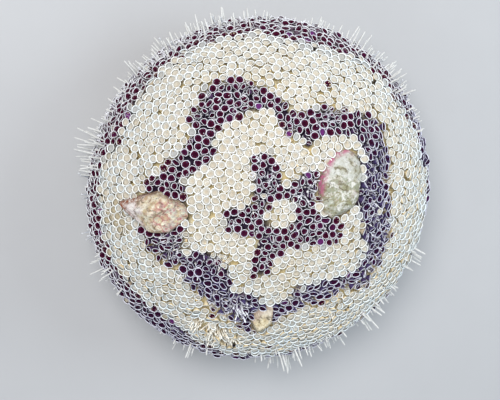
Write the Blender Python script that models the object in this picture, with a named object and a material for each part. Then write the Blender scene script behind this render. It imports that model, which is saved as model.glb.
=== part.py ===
"""A still, life-size model of the flower urchin Toxopneustes maculatus, resting mouth down.

The body stands on +Z, with its mouth at the bottom and its apex on top. The five ambulacra and the
five interambulacra are solid columns from the apical disc to the mouth membrane, each carrying its
own cups (globiferous pedicellariae), spines, tube feet and gills. Three bits of rubble lie on the coat.
"""

import math
import random

import bmesh
import bpy
from mathutils import Matrix, Vector

# The test, in metres
TEST_RADIUS = 0.0557
DOME_HEIGHT = 0.033
BASE_DEPTH = 0.021
AMBITUS_HEIGHT = 0.0275
DOME_FULLNESS = 0.90
BASE_FULLNESS = 0.78
MOUTH_RISE = 0.003
MOUTH_RISE_RADIUS = 0.014

# How far the outline is drawn out towards 45 and 225 degrees, as a share of the radius at the
# ambitus, and how much further the share grows outside the test
OVAL_SHARE = 0.0101
OVAL_LIMIT = 1.2

# The coat over the test: the nodes are solid to CORE_DEPTH, and the cups stand at CUP_HEIGHT
CORE_DEPTH = 0.0030
CUP_HEIGHT = 0.0060
ORAL_CUP_HEIGHT = 0.0052
SEAM = 0.0003

# The columns, in degrees
COLUMN_COUNT = 5
COLUMN_ANGLE = 72.0
FIRST_AMBULACRUM = 41.0
AMBULACRUM_HALF = 13.0
INTERAMBULACRUM_HALF = 23.0
AMBULACRUM_STEPS = 3
INTERAMBULACRUM_STEPS = 5
MERIDIAN_ROWS = 15

# The apical disc and the mouth
APICAL_RADIUS = 0.0075
APICAL_DEPTH = 0.0025
APICAL_STEPS = 15
APICAL_ROWS = 3
APICAL_CUPS_RADIUS = 0.0048
ANAL_CONE_RADIUS = 0.0018
ANAL_CONE_HEIGHT = 0.0009
MOUTH_RADIUS = 0.0135
MOUTH_DEPTH = 0.0040
MEMBRANE_STEPS = 20
MEMBRANE_RISE = 0.0012
MEMBRANE_RIM = 0.0004
MEMBRANE_FOLD_SHARE = 0.8
LIP_RADIUS = 0.0052
LIP_HEIGHT = 0.0012
LIP_WIDTH = 0.0011
LIP_INNER_SHARE = 0.6
BUCCAL_FOOT_SHARE = 0.72
BUCCAL_FOOT_OFF = 10.0
BUCCAL_FOOT_LENGTH = 0.0022
TEETH_RADIUS = 0.0034
TEETH_STEPS = 15
TEETH_START_RADIUS = 0.0019
TEETH_SHOULDER = 0.0004
TOOTH_LENGTH = 0.0042
TOOTH_RADIUS = 0.0011
TOOTH_TIP_RADIUS = 0.0003
TOOTH_LEAN = 34.0

# Cups, spines, tube feet and gills
CUP_RIM_RADIUS = 0.00150
CUP_FOOT_RADIUS = 0.00060
CUP_DISH = 0.0006
CUP_TALLEST = 1.08
CUP_SHORTEST = 0.90
CUP_LEAN = 0.06
CUP_SIDES = 6
ORAL_CUP_SCALE = 0.85
SPINE_RADIUS = 0.00048
SPINE_TIP_RADIUS = 0.00026
SPINE_SPREAD = 0.0009
SPINE_LEAN = 0.10
SPINE_DROOP = 1.6
AMBITUS_SPINE_LENGTHS = (0.0069, 0.0081)
UPPER_SPINE_LENGTHS = (0.0032, 0.0043)
ORAL_SPINE_LENGTHS = (0.0038, 0.0048)
TUBE_FOOT_RADIUS = 0.00036
TUBE_FOOT_LENGTH = 0.0075
TUBE_FOOT_LENGTH_SHARES = (0.85, 1.10)
TUBE_FOOT_LEAN = 0.12
SUCKER_RADIUS = 0.00070
SUCKER_THICKNESS = 0.0005
GILL_LENGTH = 0.0024
GILL_RADIUS = 0.00050
GILL_TIP_SHARE = 0.6
GILL_OUT = 0.30
GILL_SPREAD = 0.35
GILL_FROM_MOUTH = 0.0020
ROOT_SINK = 0.0011
SIDE_MARGIN = 0.00035
CUP_SLACK = 0.0002
FLOOR_ROOM = 0.0006
RUBBLE_ROOM = 0.0006

# The least distance between neighbours in the coat, above and below, and every how many is a spine
COAT_SPACING = 0.0056
ORAL_SPACING = 0.0070
SPINE_EVERY = 3

# Meridian angles, in degrees from the apex, that bound the coat's zones
AMBITUS_FROM = 68.0
AMBITUS_TO = 108.0
ORAL_FROM = 112.0
STANDING_FROM = 122.0
STANDING_TO = 146.0
TUBE_FOOT_ANGLES = (78.0, 88.0, 98.0, 108.0, 118.0, 130.0, 142.0)
TUBE_FOOT_OFF = 8.0
GILL_OFF = 16.0

SEED = 20417
TRIES_PER_COLUMN = 4000
NEAR_AXIS = 1e-6
APEX_SEARCH_START = 0.01
MOUTH_SEARCH_END = 3.1
WELD_DISTANCE = 2e-6
GAUGE_ROWS = 44
GAUGE_STEPS = 72
SMOOTH_UNDER = 40.0

WHITE = (0.86, 0.84, 0.78)
CREAM = (0.80, 0.74, 0.60)
MEMBRANE_COLOUR = (0.46, 0.36, 0.38)
TOOTH_COLOUR = (0.90, 0.89, 0.84)
LEFT_RUBBLE_COLOUR = (0.62, 0.50, 0.38)
RIGHT_RUBBLE_COLOUR = (0.60, 0.58, 0.50)
CHIP_COLOUR = (0.74, 0.66, 0.44)

# Rubble: the place of its middle (longitude in degrees, distance from the apex along the coat),
# its long axis in plan, its half sizes (long, wide, high), the height of its middle over the test,
# and its flats as (direction in its own frame, distance)
RUBBLE = {
    "rubble_left": {
        "longitude": 179.0,
        "from_apex": 0.0415,
        "long_axis": 172.0,
        "half_sizes": (0.0120, 0.0072, 0.0052),
        "height": 0.0062,
        "flats": (
            ((0.50, 0.86, 0.0), 0.0058),
            ((0.42, -0.90, 0.1), 0.0052),
            ((0.25, 0.45, 0.85), 0.0046),
            ((0.35, -0.55, 0.75), 0.0044),
            ((-0.60, 0.10, 0.80), 0.0058),
            ((-0.75, 0.66, 0.0), 0.0088),
            ((-0.30, -0.95, 0.0), 0.0064),
        ),
        "colour": LEFT_RUBBLE_COLOUR,
    },
    "rubble_right": {
        "longitude": 22.0,
        "from_apex": 0.0222,
        "long_axis": 76.0,
        "half_sizes": (0.0115, 0.0074, 0.0042),
        "height": 0.0046,
        "flats": (
            ((0.0, 0.0, 1.0), 0.0036),
            ((0.55, 0.30, 0.78), 0.0062),
            ((-0.70, -0.45, 0.55), 0.0080),
            ((0.10, -0.97, 0.20), 0.0066),
        ),
        "colour": RIGHT_RUBBLE_COLOUR,
    },
    "rubble_chip": {
        "longitude": 263.0,
        "from_apex": 0.0393,
        "long_axis": 52.0,
        "half_sizes": (0.0066, 0.0035, 0.0038),
        "height": 0.0050,
        "flats": (
            ((0.60, -0.80, 0.0), 0.0029),
            ((0.10, 0.55, 0.83), 0.0026),
            ((-0.80, 0.50, 0.3), 0.0036),
        ),
        "colour": CHIP_COLOUR,
    },
}


def clear_scene():
    for obj in list(bpy.data.objects):
        bpy.data.objects.remove(obj)


def new_collection(name):
    collection = bpy.data.collections.new(name)
    bpy.context.scene.collection.children.link(collection)
    return collection


def make_material(name, colour, roughness):
    material = bpy.data.materials.new(name)
    material.use_nodes = True
    shader = material.node_tree.nodes["Principled BSDF"]
    shader.inputs["Base Color"].default_value = (*colour, 1.0)
    shader.inputs["Roughness"].default_value = roughness
    return material


def test_meridian(phi):
    """Radius and height of the test at the meridian angle phi, 0 at the apex and pi at the mouth."""
    sine = abs(math.sin(phi))
    cosine = abs(math.cos(phi))
    if phi <= math.pi / 2:
        radius = TEST_RADIUS * sine**DOME_FULLNESS
        return radius, AMBITUS_HEIGHT + DOME_HEIGHT * cosine**DOME_FULLNESS
    radius = TEST_RADIUS * sine**BASE_FULLNESS
    rise = MOUTH_RISE * math.exp(-((radius / MOUTH_RISE_RADIUS) ** 2))
    return radius, AMBITUS_HEIGHT - BASE_DEPTH * cosine**BASE_FULLNESS + rise


def meridian(phi, depth):
    """The same meridian moved out along its normal by depth."""
    step = 0.002
    low = max(phi - step, 1e-4)
    high = min(phi + step, math.pi - 1e-4)
    r0, z0 = test_meridian(low)
    r1, z1 = test_meridian(high)
    run = math.hypot(r1 - r0, z1 - z0)
    radius, height = test_meridian(phi)
    return radius + depth * (z0 - z1) / run, height + depth * (r1 - r0) / run


def outlined(radius, theta):
    """The radius of the slightly oval outline. The oval fades towards the axis."""
    return radius * (1 + OVAL_SHARE * math.sin(2 * theta) * min(radius / TEST_RADIUS, OVAL_LIMIT))


def surface_point(phi, theta, depth):
    radius, height = meridian(phi, depth)
    radius = outlined(radius, theta)
    return Vector((radius * math.cos(theta), radius * math.sin(theta), height))


def surface_normal(phi, theta):
    step = 0.003
    down = surface_point(min(phi + step, math.pi - step), theta, 0) - surface_point(phi - step, theta, 0)
    round_ = surface_point(phi, theta + step, 0) - surface_point(phi, theta - step, 0)
    return down.cross(round_).normalized()


def phi_at_radius(radius, start, end, depth):
    """The meridian angle between start and end where the surface at this depth has that radius."""
    rising = meridian(end, depth)[0] > meridian(start, depth)[0]
    for _ in range(40):
        middle = (start + end) / 2
        if (meridian(middle, depth)[0] < radius) == rising:
            start = middle
        else:
            end = middle
    return (start + end) / 2


def phi_at_arc(distance, depth):
    """The meridian angle at that distance from the apex along the surface at this depth."""
    step = 0.002
    phi = step
    walked = meridian(phi, depth)[0]
    while walked < distance:
        r0, z0 = meridian(phi, depth)
        phi += step
        r1, z1 = meridian(phi, depth)
        walked += math.hypot(r1 - r0, z1 - z0)
    return phi


APICAL_PHI = phi_at_radius(APICAL_RADIUS, APEX_SEARCH_START, math.pi / 2, CORE_DEPTH)
MOUTH_PHI = phi_at_radius(MOUTH_RADIUS, math.pi / 2, MOUTH_SEARCH_END, CORE_DEPTH)
APICAL_FLOOR = meridian(APICAL_PHI, CORE_DEPTH)[1] - APICAL_DEPTH
MOUTH_CEILING = meridian(MOUTH_PHI, CORE_DEPTH)[1] + MOUTH_DEPTH


def shape_mesh(name, bm):
    mesh = bpy.data.meshes.new(name)
    bm.to_mesh(mesh)
    bm.free()
    return mesh


def mesh_object(name, bm, collection, material=None):
    mesh = shape_mesh(name, bm)
    obj = bpy.data.objects.new(name, mesh)
    if material:
        mesh.materials.append(material)
    collection.objects.link(obj)
    return obj


def spun_profile(points, angle_from, angle, steps):
    """A bmesh of the closed profile (radius, height) spun about Z from angle_from through angle."""
    bm = bmesh.new()
    turn = Matrix.Rotation(angle_from, 4, "Z")
    verts = [bm.verts.new(turn @ Vector((r, 0, z))) for r, z in points]
    face = bm.faces.new(verts)
    bmesh.ops.spin(
        bm,
        geom=[face, *face.edges, *face.verts],
        cent=(0, 0, 0),
        axis=(0, 0, 1),
        angle=angle,
        steps=steps,
        use_merge=False,
        use_duplicate=False,
    )
    bmesh.ops.remove_doubles(bm, verts=bm.verts, dist=WELD_DISTANCE)
    bmesh.ops.recalc_face_normals(bm, faces=bm.faces)
    return bm


def turned_solid(points, steps):
    """A bmesh of the closed profile spun all the way round."""
    bm = bmesh.new()
    verts = [bm.verts.new((r, 0, z)) for r, z in points]
    edges = [bm.edges.new(pair) for pair in zip(verts, verts[1:])]
    if points[0][0] > 0:
        edges.append(bm.edges.new((verts[-1], verts[0])))
    bmesh.ops.spin(
        bm,
        geom=[*verts, *edges],
        cent=(0, 0, 0),
        axis=(0, 0, 1),
        angle=math.tau,
        steps=steps,
        use_merge=True,
        use_duplicate=False,
    )
    bmesh.ops.remove_doubles(bm, verts=bm.verts, dist=WELD_DISTANCE)
    bmesh.ops.recalc_face_normals(bm, faces=bm.faces)
    return bm


def column_profile():
    """The outline of a column in its own plane: the recess for the apical disc, the surface, the mouth."""
    phis = [
        APICAL_PHI + (MOUTH_PHI - APICAL_PHI) * row / MERIDIAN_ROWS
        for row in range(MERIDIAN_ROWS + 1)
    ]
    surface = [meridian(phi, CORE_DEPTH) for phi in phis]
    return [
        (0, APICAL_FLOOR),
        (surface[0][0], APICAL_FLOOR),
        *surface,
        (surface[-1][0], MOUTH_CEILING),
        (0, MOUTH_CEILING),
    ]


def build_column(name, middle, half, steps, collection, material):
    """One column of the test, its sides held back by half a seam."""
    bm = spun_profile(column_profile(), middle - half, 2 * half, steps)
    inner = SEAM / 2 / math.sin(half)
    for vert in bm.verts:
        radius = math.hypot(vert.co.x, vert.co.y)
        if radius < NEAR_AXIS:
            vert.co.x = inner * math.cos(middle)
            vert.co.y = inner * math.sin(middle)
            continue
        off = math.remainder(math.atan2(vert.co.y, vert.co.x) - middle, math.tau)
        across = outlined(radius, middle + off)
        off *= 1 - math.asin(SEAM / 2 / across) / half
        vert.co.x = across * math.cos(middle + off)
        vert.co.y = across * math.sin(middle + off)
    bmesh.ops.triangulate(bm, faces=bm.faces)
    return mesh_object(name, bm, collection, material)


def cone(bm, sides, radius, tip_radius, length):
    """A cone or prism along +Z, with its root sunk below the origin."""
    bmesh.ops.create_cone(
        bm,
        cap_ends=True,
        segments=sides,
        radius1=radius,
        radius2=tip_radius,
        depth=length + ROOT_SINK,
        matrix=Matrix.Translation((0, 0, (length - ROOT_SINK) / 2)),
    )


def highest_face(bm):
    return max(bm.faces, key=lambda face: face.calc_center_median().z)


def cup_shape(scale, height):
    """A goblet: a three-sided stalk that flares to a dished six-sided cup."""
    bm = bmesh.new()
    cone(bm, CUP_SIDES, CUP_FOOT_RADIUS * scale, CUP_RIM_RADIUS * scale, height)
    bm.verts.ensure_lookup_table()
    foot = sorted((v for v in bm.verts if v.co.z < 0), key=lambda v: math.atan2(v.co.y, v.co.x))
    for first, second in zip(foot[::2], foot[1::2]):
        middle = (first.co + second.co) / 2
        first.co = middle
        second.co = middle
    bmesh.ops.remove_doubles(bm, verts=bm.verts, dist=WELD_DISTANCE)
    centre = bmesh.ops.poke(bm, faces=[highest_face(bm)])["verts"][0]
    centre.co.z -= CUP_DISH * scale
    bmesh.ops.recalc_face_normals(bm, faces=bm.faces)
    return shape_mesh("cup", bm)


def spine_shape(length):
    """A blunt three-sided spine with a sunk root."""
    bm = bmesh.new()
    cone(bm, 3, SPINE_RADIUS, SPINE_TIP_RADIUS, length)
    return shape_mesh("spine", bm)


def tube_foot_shape(length):
    """A thin tube foot that ends in a wider sucker."""
    bm = bmesh.new()
    cone(bm, 3, TUBE_FOOT_RADIUS, TUBE_FOOT_RADIUS, length - SUCKER_THICKNESS)
    made = bmesh.ops.extrude_discrete_faces(bm, faces=[highest_face(bm)])["faces"][0]
    for vert in made.verts:
        vert.co.x *= SUCKER_RADIUS / TUBE_FOOT_RADIUS
        vert.co.y *= SUCKER_RADIUS / TUBE_FOOT_RADIUS
        vert.co.z += SUCKER_THICKNESS
    bmesh.ops.recalc_face_normals(bm, faces=bm.faces)
    return shape_mesh("tube_foot", bm)


def gill_shape():
    """One soft gill lobe."""
    bm = bmesh.new()
    cone(bm, 4, GILL_RADIUS, GILL_RADIUS * GILL_TIP_SHARE, GILL_LENGTH)
    return shape_mesh("gill", bm)


def stand_up(direction, turn):
    """The rotation that takes +Z to direction, after a turn about Z."""
    return direction.to_track_quat("Z", "Y").to_matrix().to_4x4() @ Matrix.Rotation(turn, 4, "Z")


def place(mesh, point, direction, turn, collection):
    obj = bpy.data.objects.new(mesh.name, mesh)
    obj.matrix_world = Matrix.Translation(point) @ stand_up(direction, turn)
    collection.objects.link(obj)
    return obj


def largest_piece(bm):
    """Deletes every closed surface of the mesh but the one with the most vertices."""
    unseen = set(bm.verts)
    pieces = []
    while unseen:
        piece = {unseen.pop()}
        to_visit = list(piece)
        while to_visit:
            vert = to_visit.pop()
            for edge in vert.link_edges:
                other = edge.other_vert(vert)
                if other in unseen:
                    unseen.remove(other)
                    piece.add(other)
                    to_visit.append(other)
        pieces.append(piece)
    kept = max(pieces, key=len)
    bmesh.ops.delete(bm, geom=[v for v in bm.verts if v not in kept], context="VERTS")


def combine(node, others, operation):
    """Applies one Boolean with a collection of closed mesh objects, which are then removed."""
    bpy.context.view_layer.update()
    modifier = node.modifiers.new("join", "BOOLEAN")
    modifier.operation = operation
    modifier.operand_type = "COLLECTION"
    modifier.collection = others
    modifier.solver = "EXACT"
    graph = bpy.context.evaluated_depsgraph_get()
    mesh = bpy.data.meshes.new_from_object(node.evaluated_get(graph))
    node.modifiers.clear()
    bm = bmesh.new()
    bm.from_mesh(mesh)
    bmesh.ops.remove_doubles(bm, verts=bm.verts, dist=WELD_DISTANCE)
    bmesh.ops.triangulate(bm, faces=bm.faces)
    largest_piece(bm)
    bm.to_mesh(mesh)
    bm.free()
    node.data = mesh
    mesh.shade_smooth()
    mesh.set_sharp_from_angle(angle=math.radians(SMOOTH_UNDER))
    for obj in list(others.objects):
        bpy.data.objects.remove(obj)
    bpy.data.collections.remove(others)


def rubble_frame(spec):
    """Where a bit of rubble lies: its middle, and the rotation from its own axes."""
    phi = phi_at_arc(spec["from_apex"], CUP_HEIGHT)
    theta = math.radians(spec["longitude"])
    up = surface_normal(phi, theta)
    axis = math.radians(spec["long_axis"])
    along = Vector((math.cos(axis), math.sin(axis), 0))
    along = (along - up * along.dot(up)).normalized()
    across = up.cross(along)
    turn = Matrix((along, across, up)).transposed().to_4x4()
    return surface_point(phi, theta, spec["height"]), turn


def over_rubble(point, reach):
    """Whether something of that reach, standing at point, would touch a bit of rubble."""
    for spec in RUBBLE.values():
        middle, turn = rubble_frame(spec)
        local = turn.inverted() @ (point - middle)
        long, wide, _ = spec["half_sizes"]
        if (local.x / (long + reach)) ** 2 + (local.y / (wide + reach)) ** 2 < 1:
            return True
    return False


def build_rubble(name, spec, collection):
    """A worn, chipped stone, hollowed below where it lies on the body."""
    bm = bmesh.new()
    bmesh.ops.create_icosphere(bm, subdivisions=2, radius=1)
    long, wide, high = spec["half_sizes"]
    for vert in bm.verts:
        vert.co = Vector((vert.co.x * long, vert.co.y * wide, vert.co.z * high))
        for direction, distance in spec["flats"]:
            normal = Vector(direction).normalized()
            vert.co -= normal * max(0.0, vert.co.dot(normal) - distance)
    middle, turn = rubble_frame(spec)
    bmesh.ops.transform(bm, matrix=Matrix.Translation(middle) @ turn, verts=bm.verts)
    material = make_material(name, spec["colour"], 0.85)
    stone = mesh_object(name, bm, collection, material)
    cutters = new_collection(name + "_cutters")
    mesh_object("body_gauge", turned_solid(gauge_profile(), GAUGE_STEPS), cutters)
    for vert in cutters.objects[0].data.vertices:
        theta = math.atan2(vert.co.y, vert.co.x)
        radius = outlined(math.hypot(vert.co.x, vert.co.y), theta)
        vert.co.x = radius * math.cos(theta)
        vert.co.y = radius * math.sin(theta)
    combine(stone, cutters, "DIFFERENCE")
    return stone


def gauge_profile():
    """The whole body's outline, a seam larger all over, to cut the rubble with."""
    depth = CORE_DEPTH + SEAM
    outline = [meridian(math.pi * row / GAUGE_ROWS, depth) for row in range(1, GAUGE_ROWS)]
    top = outline[0][1]
    bottom = outline[-1][1]
    return [(0, top), *outline, (0, bottom)]


def coat_direction(phi, theta, rng, lean):
    """The surface's normal, leaning a little at random."""
    wander = Vector((rng.uniform(-1, 1), rng.uniform(-1, 1), rng.uniform(-1, 1))) * lean
    return (surface_normal(phi, theta) + wander).normalized()


def seam_room(point, middle, half):
    """How far a point is from the nearer side of its column."""
    theta = math.atan2(point.y, point.x)
    off = abs(math.remainder(theta - middle, math.tau))
    return math.hypot(point.x, point.y) * math.sin(half - off)


def spine_length(phi, rng):
    """Spines clear the cups round the ambitus, and stay level with them on top."""
    degrees = math.degrees(phi)
    if AMBITUS_FROM < degrees < AMBITUS_TO:
        return rng.uniform(*AMBITUS_SPINE_LENGTHS)
    if degrees <= AMBITUS_FROM:
        return rng.uniform(*UPPER_SPINE_LENGTHS)
    return rng.uniform(*ORAL_SPINE_LENGTHS)


def over_floor(root, direction, length):
    """The length that keeps a tip clear of the floor."""
    if direction.z >= 0:
        return length
    return min(length, (root.z - FLOOR_ROOM) / -direction.z)


def grow_cup(phi, theta, rng, target):
    root = surface_point(phi, theta, CORE_DEPTH)
    oral = math.degrees(phi) > ORAL_FROM
    scale = rng.uniform(CUP_SHORTEST, CUP_TALLEST) * (ORAL_CUP_SCALE if oral else 1)
    height = (ORAL_CUP_HEIGHT if oral else CUP_HEIGHT) - CORE_DEPTH
    direction = coat_direction(phi, theta, rng, CUP_LEAN)
    place(cup_shape(scale, height), root, direction, rng.uniform(0, math.tau), target)


def grow_spine(phi, theta, rng, target):
    """Sets one spine on the core. Those under the body stand on the floor on small flats."""
    root = surface_point(phi, theta, CORE_DEPTH)
    turn = rng.uniform(0, math.tau)
    direction = coat_direction(phi, theta, rng, SPINE_LEAN)
    if not STANDING_FROM < math.degrees(phi) < STANDING_TO:
        length = over_floor(root, direction, spine_length(phi, rng))
        place(spine_shape(length), root, direction, turn, target)
        return
    direction = (direction + Vector((0, 0, -SPINE_DROOP))).normalized()
    length = root.z / -direction.z
    spine = place(spine_shape(length), root, direction, turn, target)
    world = spine.matrix_world.copy()
    for vert in spine.data.vertices:
        if vert.co.z > length / 2:
            foot = world @ vert.co
            foot.z = 0
            vert.co = world.inverted() @ foot


def grow_tube_feet(middle, rng, target):
    """Two rows of tube feet down one ambulacrum. It returns where they stand in the coat."""
    places = []
    for degrees in TUBE_FOOT_ANGLES:
        for side in (-1, 1):
            phi = math.radians(degrees)
            theta = middle + side * math.radians(TUBE_FOOT_OFF)
            root = surface_point(phi, theta, CORE_DEPTH)
            direction = coat_direction(phi, theta, rng, TUBE_FOOT_LEAN)
            length = over_floor(root, direction, TUBE_FOOT_LENGTH * rng.uniform(*TUBE_FOOT_LENGTH_SHARES))
            place(tube_foot_shape(length), root, direction, rng.uniform(0, math.tau), target)
            places.append(surface_point(phi, theta, CUP_HEIGHT))
    return places


def grow_gills(middle, rng, target):
    """A pair of gills at the mouth's edge, each of two lobes. It returns where they stand."""
    places = []
    phi = phi_at_radius(MOUTH_RADIUS + GILL_FROM_MOUTH, math.pi / 2, MOUTH_SEARCH_END, CORE_DEPTH)
    for side in (-1, 1):
        theta = middle + side * math.radians(GILL_OFF)
        root = surface_point(phi, theta, CORE_DEPTH)
        outward = Vector((math.cos(theta), math.sin(theta), 0))
        round_ = Vector((-math.sin(theta), math.cos(theta), 0))
        for spread in (-1, 1):
            direction = surface_normal(phi, theta) + outward * GILL_OUT + round_ * GILL_SPREAD * spread
            place(gill_shape(), root, direction.normalized(), rng.uniform(0, 1), target)
        places.append(surface_point(phi, theta, CUP_HEIGHT))
    return places


def clear_of_edges(root, phi, middle, half, reach, slack):
    """Whether something of that reach is clear of the column's sides and of both its ends."""
    across = math.hypot(root.x, root.y)
    if seam_room(root, middle, half) < reach + SIDE_MARGIN + slack:
        return False
    inner = APICAL_RADIUS if phi < math.pi / 2 else MOUTH_RADIUS
    return across > inner + SEAM + reach


def scatter(middle, half, taken, rng, target):
    """Cups and spines spread evenly over one column, clear of its sides and of the rubble."""
    placed = 0
    for _ in range(TRIES_PER_COLUMN):
        phi = math.acos(rng.uniform(math.cos(MOUTH_PHI), math.cos(APICAL_PHI)))
        theta = middle + rng.uniform(-half, half)
        spine = placed % SPINE_EVERY == SPINE_EVERY - 1
        reach = SPINE_RADIUS if spine else CUP_RIM_RADIUS * CUP_TALLEST
        root = surface_point(phi, theta, CORE_DEPTH)
        face = surface_point(phi, theta, CUP_HEIGHT)
        if not clear_of_edges(root, phi, middle, half, reach, SPINE_SPREAD if spine else CUP_SLACK):
            continue
        spacing = ORAL_SPACING if math.degrees(phi) > ORAL_FROM else COAT_SPACING
        if any((face - other).length < spacing for other in taken):
            continue
        if over_rubble(face, reach + RUBBLE_ROOM):
            continue
        taken.append(face)
        placed += 1
        if spine:
            grow_spine(phi, theta, rng, target)
        else:
            grow_cup(phi, theta, rng, target)


def build_columns(collection):
    for index in range(COLUMN_COUNT):
        ambulacrum = math.radians(FIRST_AMBULACRUM + COLUMN_ANGLE * index)
        between = ambulacrum + math.radians(COLUMN_ANGLE / 2)
        kinds = (
            ("ambulacrum", ambulacrum, AMBULACRUM_HALF, AMBULACRUM_STEPS),
            ("interambulacrum", between, INTERAMBULACRUM_HALF, INTERAMBULACRUM_STEPS),
        )
        for kind, middle, half_degrees, steps in kinds:
            name = f"{kind}_{index + 1}"
            half = math.radians(half_degrees)
            material = make_material(name, CREAM if kind == "ambulacrum" else WHITE, 0.6)
            node = build_column(name, middle, half, steps, collection, material)
            rng = random.Random(SEED + 100 * index + len(kind))
            pieces = new_collection(name + "_pieces")
            if kind == "ambulacrum":
                taken = grow_tube_feet(middle, rng, pieces)
            else:
                taken = grow_gills(middle, rng, pieces)
            scatter(middle, half, taken, rng, pieces)
            combine(node, pieces, "UNION")


def build_apical_disc(collection):
    """The apical disc with its low anal cone, level with the columns round it."""
    radius = APICAL_RADIUS - SEAM
    edge_phi = phi_at_radius(radius, APEX_SEARCH_START, math.pi / 2, CORE_DEPTH)
    dome = [meridian(edge_phi * row / APICAL_ROWS, CORE_DEPTH) for row in range(1, APICAL_ROWS + 1)]
    top = meridian(0.02, CORE_DEPTH)[1]
    points = [
        (0, APICAL_FLOOR + SEAM),
        (radius, APICAL_FLOOR + SEAM),
        *reversed(dome),
        (ANAL_CONE_RADIUS, top),
        (0, top + ANAL_CONE_HEIGHT),
    ]
    material = make_material("apical_disc", CREAM, 0.6)
    node = mesh_object("apical_disc", turned_solid(points, APICAL_STEPS), collection, material)
    pieces = new_collection("apical_pieces")
    rng = random.Random(SEED + 7)
    phi = phi_at_radius(APICAL_CUPS_RADIUS, APEX_SEARCH_START, math.pi / 2, CORE_DEPTH)
    for index in range(COLUMN_COUNT):
        theta = math.radians(FIRST_AMBULACRUM + COLUMN_ANGLE * index)
        grow_cup(phi, theta, rng, pieces)
    combine(node, pieces, "UNION")


def build_peristome(collection):
    """The mouth membrane with its lip."""
    radius = MOUTH_RADIUS - SEAM
    edge_height = meridian(MOUTH_PHI, CORE_DEPTH)[1]
    top = MOUTH_CEILING - SEAM
    membrane = edge_height + MEMBRANE_RISE
    points = [
        (TEETH_RADIUS + SEAM, top),
        (radius, top),
        (radius, edge_height + MEMBRANE_RIM),
        (radius * MEMBRANE_FOLD_SHARE, membrane),
        (LIP_RADIUS + LIP_WIDTH, membrane),
        (LIP_RADIUS, membrane - LIP_HEIGHT),
        (TEETH_RADIUS + SEAM, membrane - LIP_HEIGHT * LIP_INNER_SHARE),
    ]
    material = make_material("peristome", MEMBRANE_COLOUR, 0.5)
    node = mesh_object("peristome", turned_solid(points, MEMBRANE_STEPS), collection, material)
    pieces = new_collection("peristome_pieces")
    foot = tube_foot_shape(BUCCAL_FOOT_LENGTH)
    reach = radius * BUCCAL_FOOT_SHARE
    for index in range(COLUMN_COUNT):
        for side in (-1, 1):
            theta = math.radians(FIRST_AMBULACRUM + COLUMN_ANGLE * index + BUCCAL_FOOT_OFF * side)
            root = Vector((reach * math.cos(theta), reach * math.sin(theta), membrane))
            place(foot, root, Vector((0, 0, -1)), theta, pieces)
    combine(node, pieces, "UNION")


def build_teeth(collection):
    """Five chisel teeth that meet at the middle of the mouth, on the tip of the jaws."""
    top = MOUTH_CEILING - SEAM
    floor = meridian(MOUTH_PHI, CORE_DEPTH)[1] + MEMBRANE_RISE
    points = [(0, floor), (TEETH_RADIUS, floor + TEETH_SHOULDER), (TEETH_RADIUS, top), (0, top)]
    material = make_material("teeth", TOOTH_COLOUR, 0.35)
    node = mesh_object("teeth", turned_solid(points, TEETH_STEPS), collection, material)
    pieces = new_collection("teeth_pieces")
    lean = math.radians(TOOTH_LEAN)
    for index in range(COLUMN_COUNT):
        theta = math.radians(FIRST_AMBULACRUM + COLUMN_ANGLE * (index + 0.5))
        bm = bmesh.new()
        bmesh.ops.create_cone(
            bm,
            cap_ends=True,
            segments=4,
            radius1=TOOTH_RADIUS,
            radius2=TOOTH_TIP_RADIUS,
            depth=TOOTH_LENGTH,
            matrix=Matrix.Translation((0, 0, TOOTH_LENGTH / 2 - ROOT_SINK)),
        )
        outward = Vector((math.cos(theta), math.sin(theta), 0))
        inward = Vector((0, 0, -math.cos(lean))) - outward * math.sin(lean)
        start = outward * TEETH_START_RADIUS + Vector((0, 0, floor))
        place(shape_mesh("tooth", bm), start, inward, theta, pieces)
    combine(node, pieces, "UNION")


def main():
    clear_scene()
    urchin = new_collection("flower_urchin")
    build_columns(urchin)
    build_apical_disc(urchin)
    build_peristome(urchin)
    build_teeth(urchin)
    for name, spec in RUBBLE.items():
        build_rubble(name, spec, urchin)
    stand = bpy.data.objects.new("flower_urchin_base", None)
    for node in list(urchin.objects):
        node.parent = stand
    urchin.objects.link(stand)


main()
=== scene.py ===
"""Looks of the life-size flower urchin: its skin, the coat of cups, spines and tube feet, the mouth,
and the three bits of rubble that it carries, with a pale floor and soft studio light."""

import math

import bmesh
import bpy
import numpy as np
from bpy.props import FloatProperty, FloatVectorProperty, IntProperty, PointerProperty
from mathutils import Matrix, Vector, kdtree, noise


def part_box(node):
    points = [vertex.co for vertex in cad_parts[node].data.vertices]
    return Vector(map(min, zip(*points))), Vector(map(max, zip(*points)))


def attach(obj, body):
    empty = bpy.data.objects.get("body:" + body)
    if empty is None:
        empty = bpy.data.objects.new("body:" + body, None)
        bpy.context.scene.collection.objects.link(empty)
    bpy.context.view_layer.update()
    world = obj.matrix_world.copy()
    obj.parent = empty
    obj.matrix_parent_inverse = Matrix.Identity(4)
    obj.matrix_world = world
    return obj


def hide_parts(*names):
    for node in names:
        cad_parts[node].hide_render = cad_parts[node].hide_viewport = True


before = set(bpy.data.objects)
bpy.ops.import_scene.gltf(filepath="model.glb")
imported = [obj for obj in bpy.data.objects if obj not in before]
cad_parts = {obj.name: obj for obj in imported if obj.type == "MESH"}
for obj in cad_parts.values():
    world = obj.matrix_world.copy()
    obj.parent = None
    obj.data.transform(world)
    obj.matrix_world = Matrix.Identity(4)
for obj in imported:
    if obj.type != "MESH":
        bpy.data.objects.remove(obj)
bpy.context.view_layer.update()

bl_info = {
    "name": "Flower urchin",
    "version": (1, 0, 0),
    "blender": (4, 5, 0),
    "location": "View3D > Sidebar > Urchin",
    "description": "Builds a life-size flower urchin with its coat of cups, spines and tube feet",
    "category": "Add Mesh",
}

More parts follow.
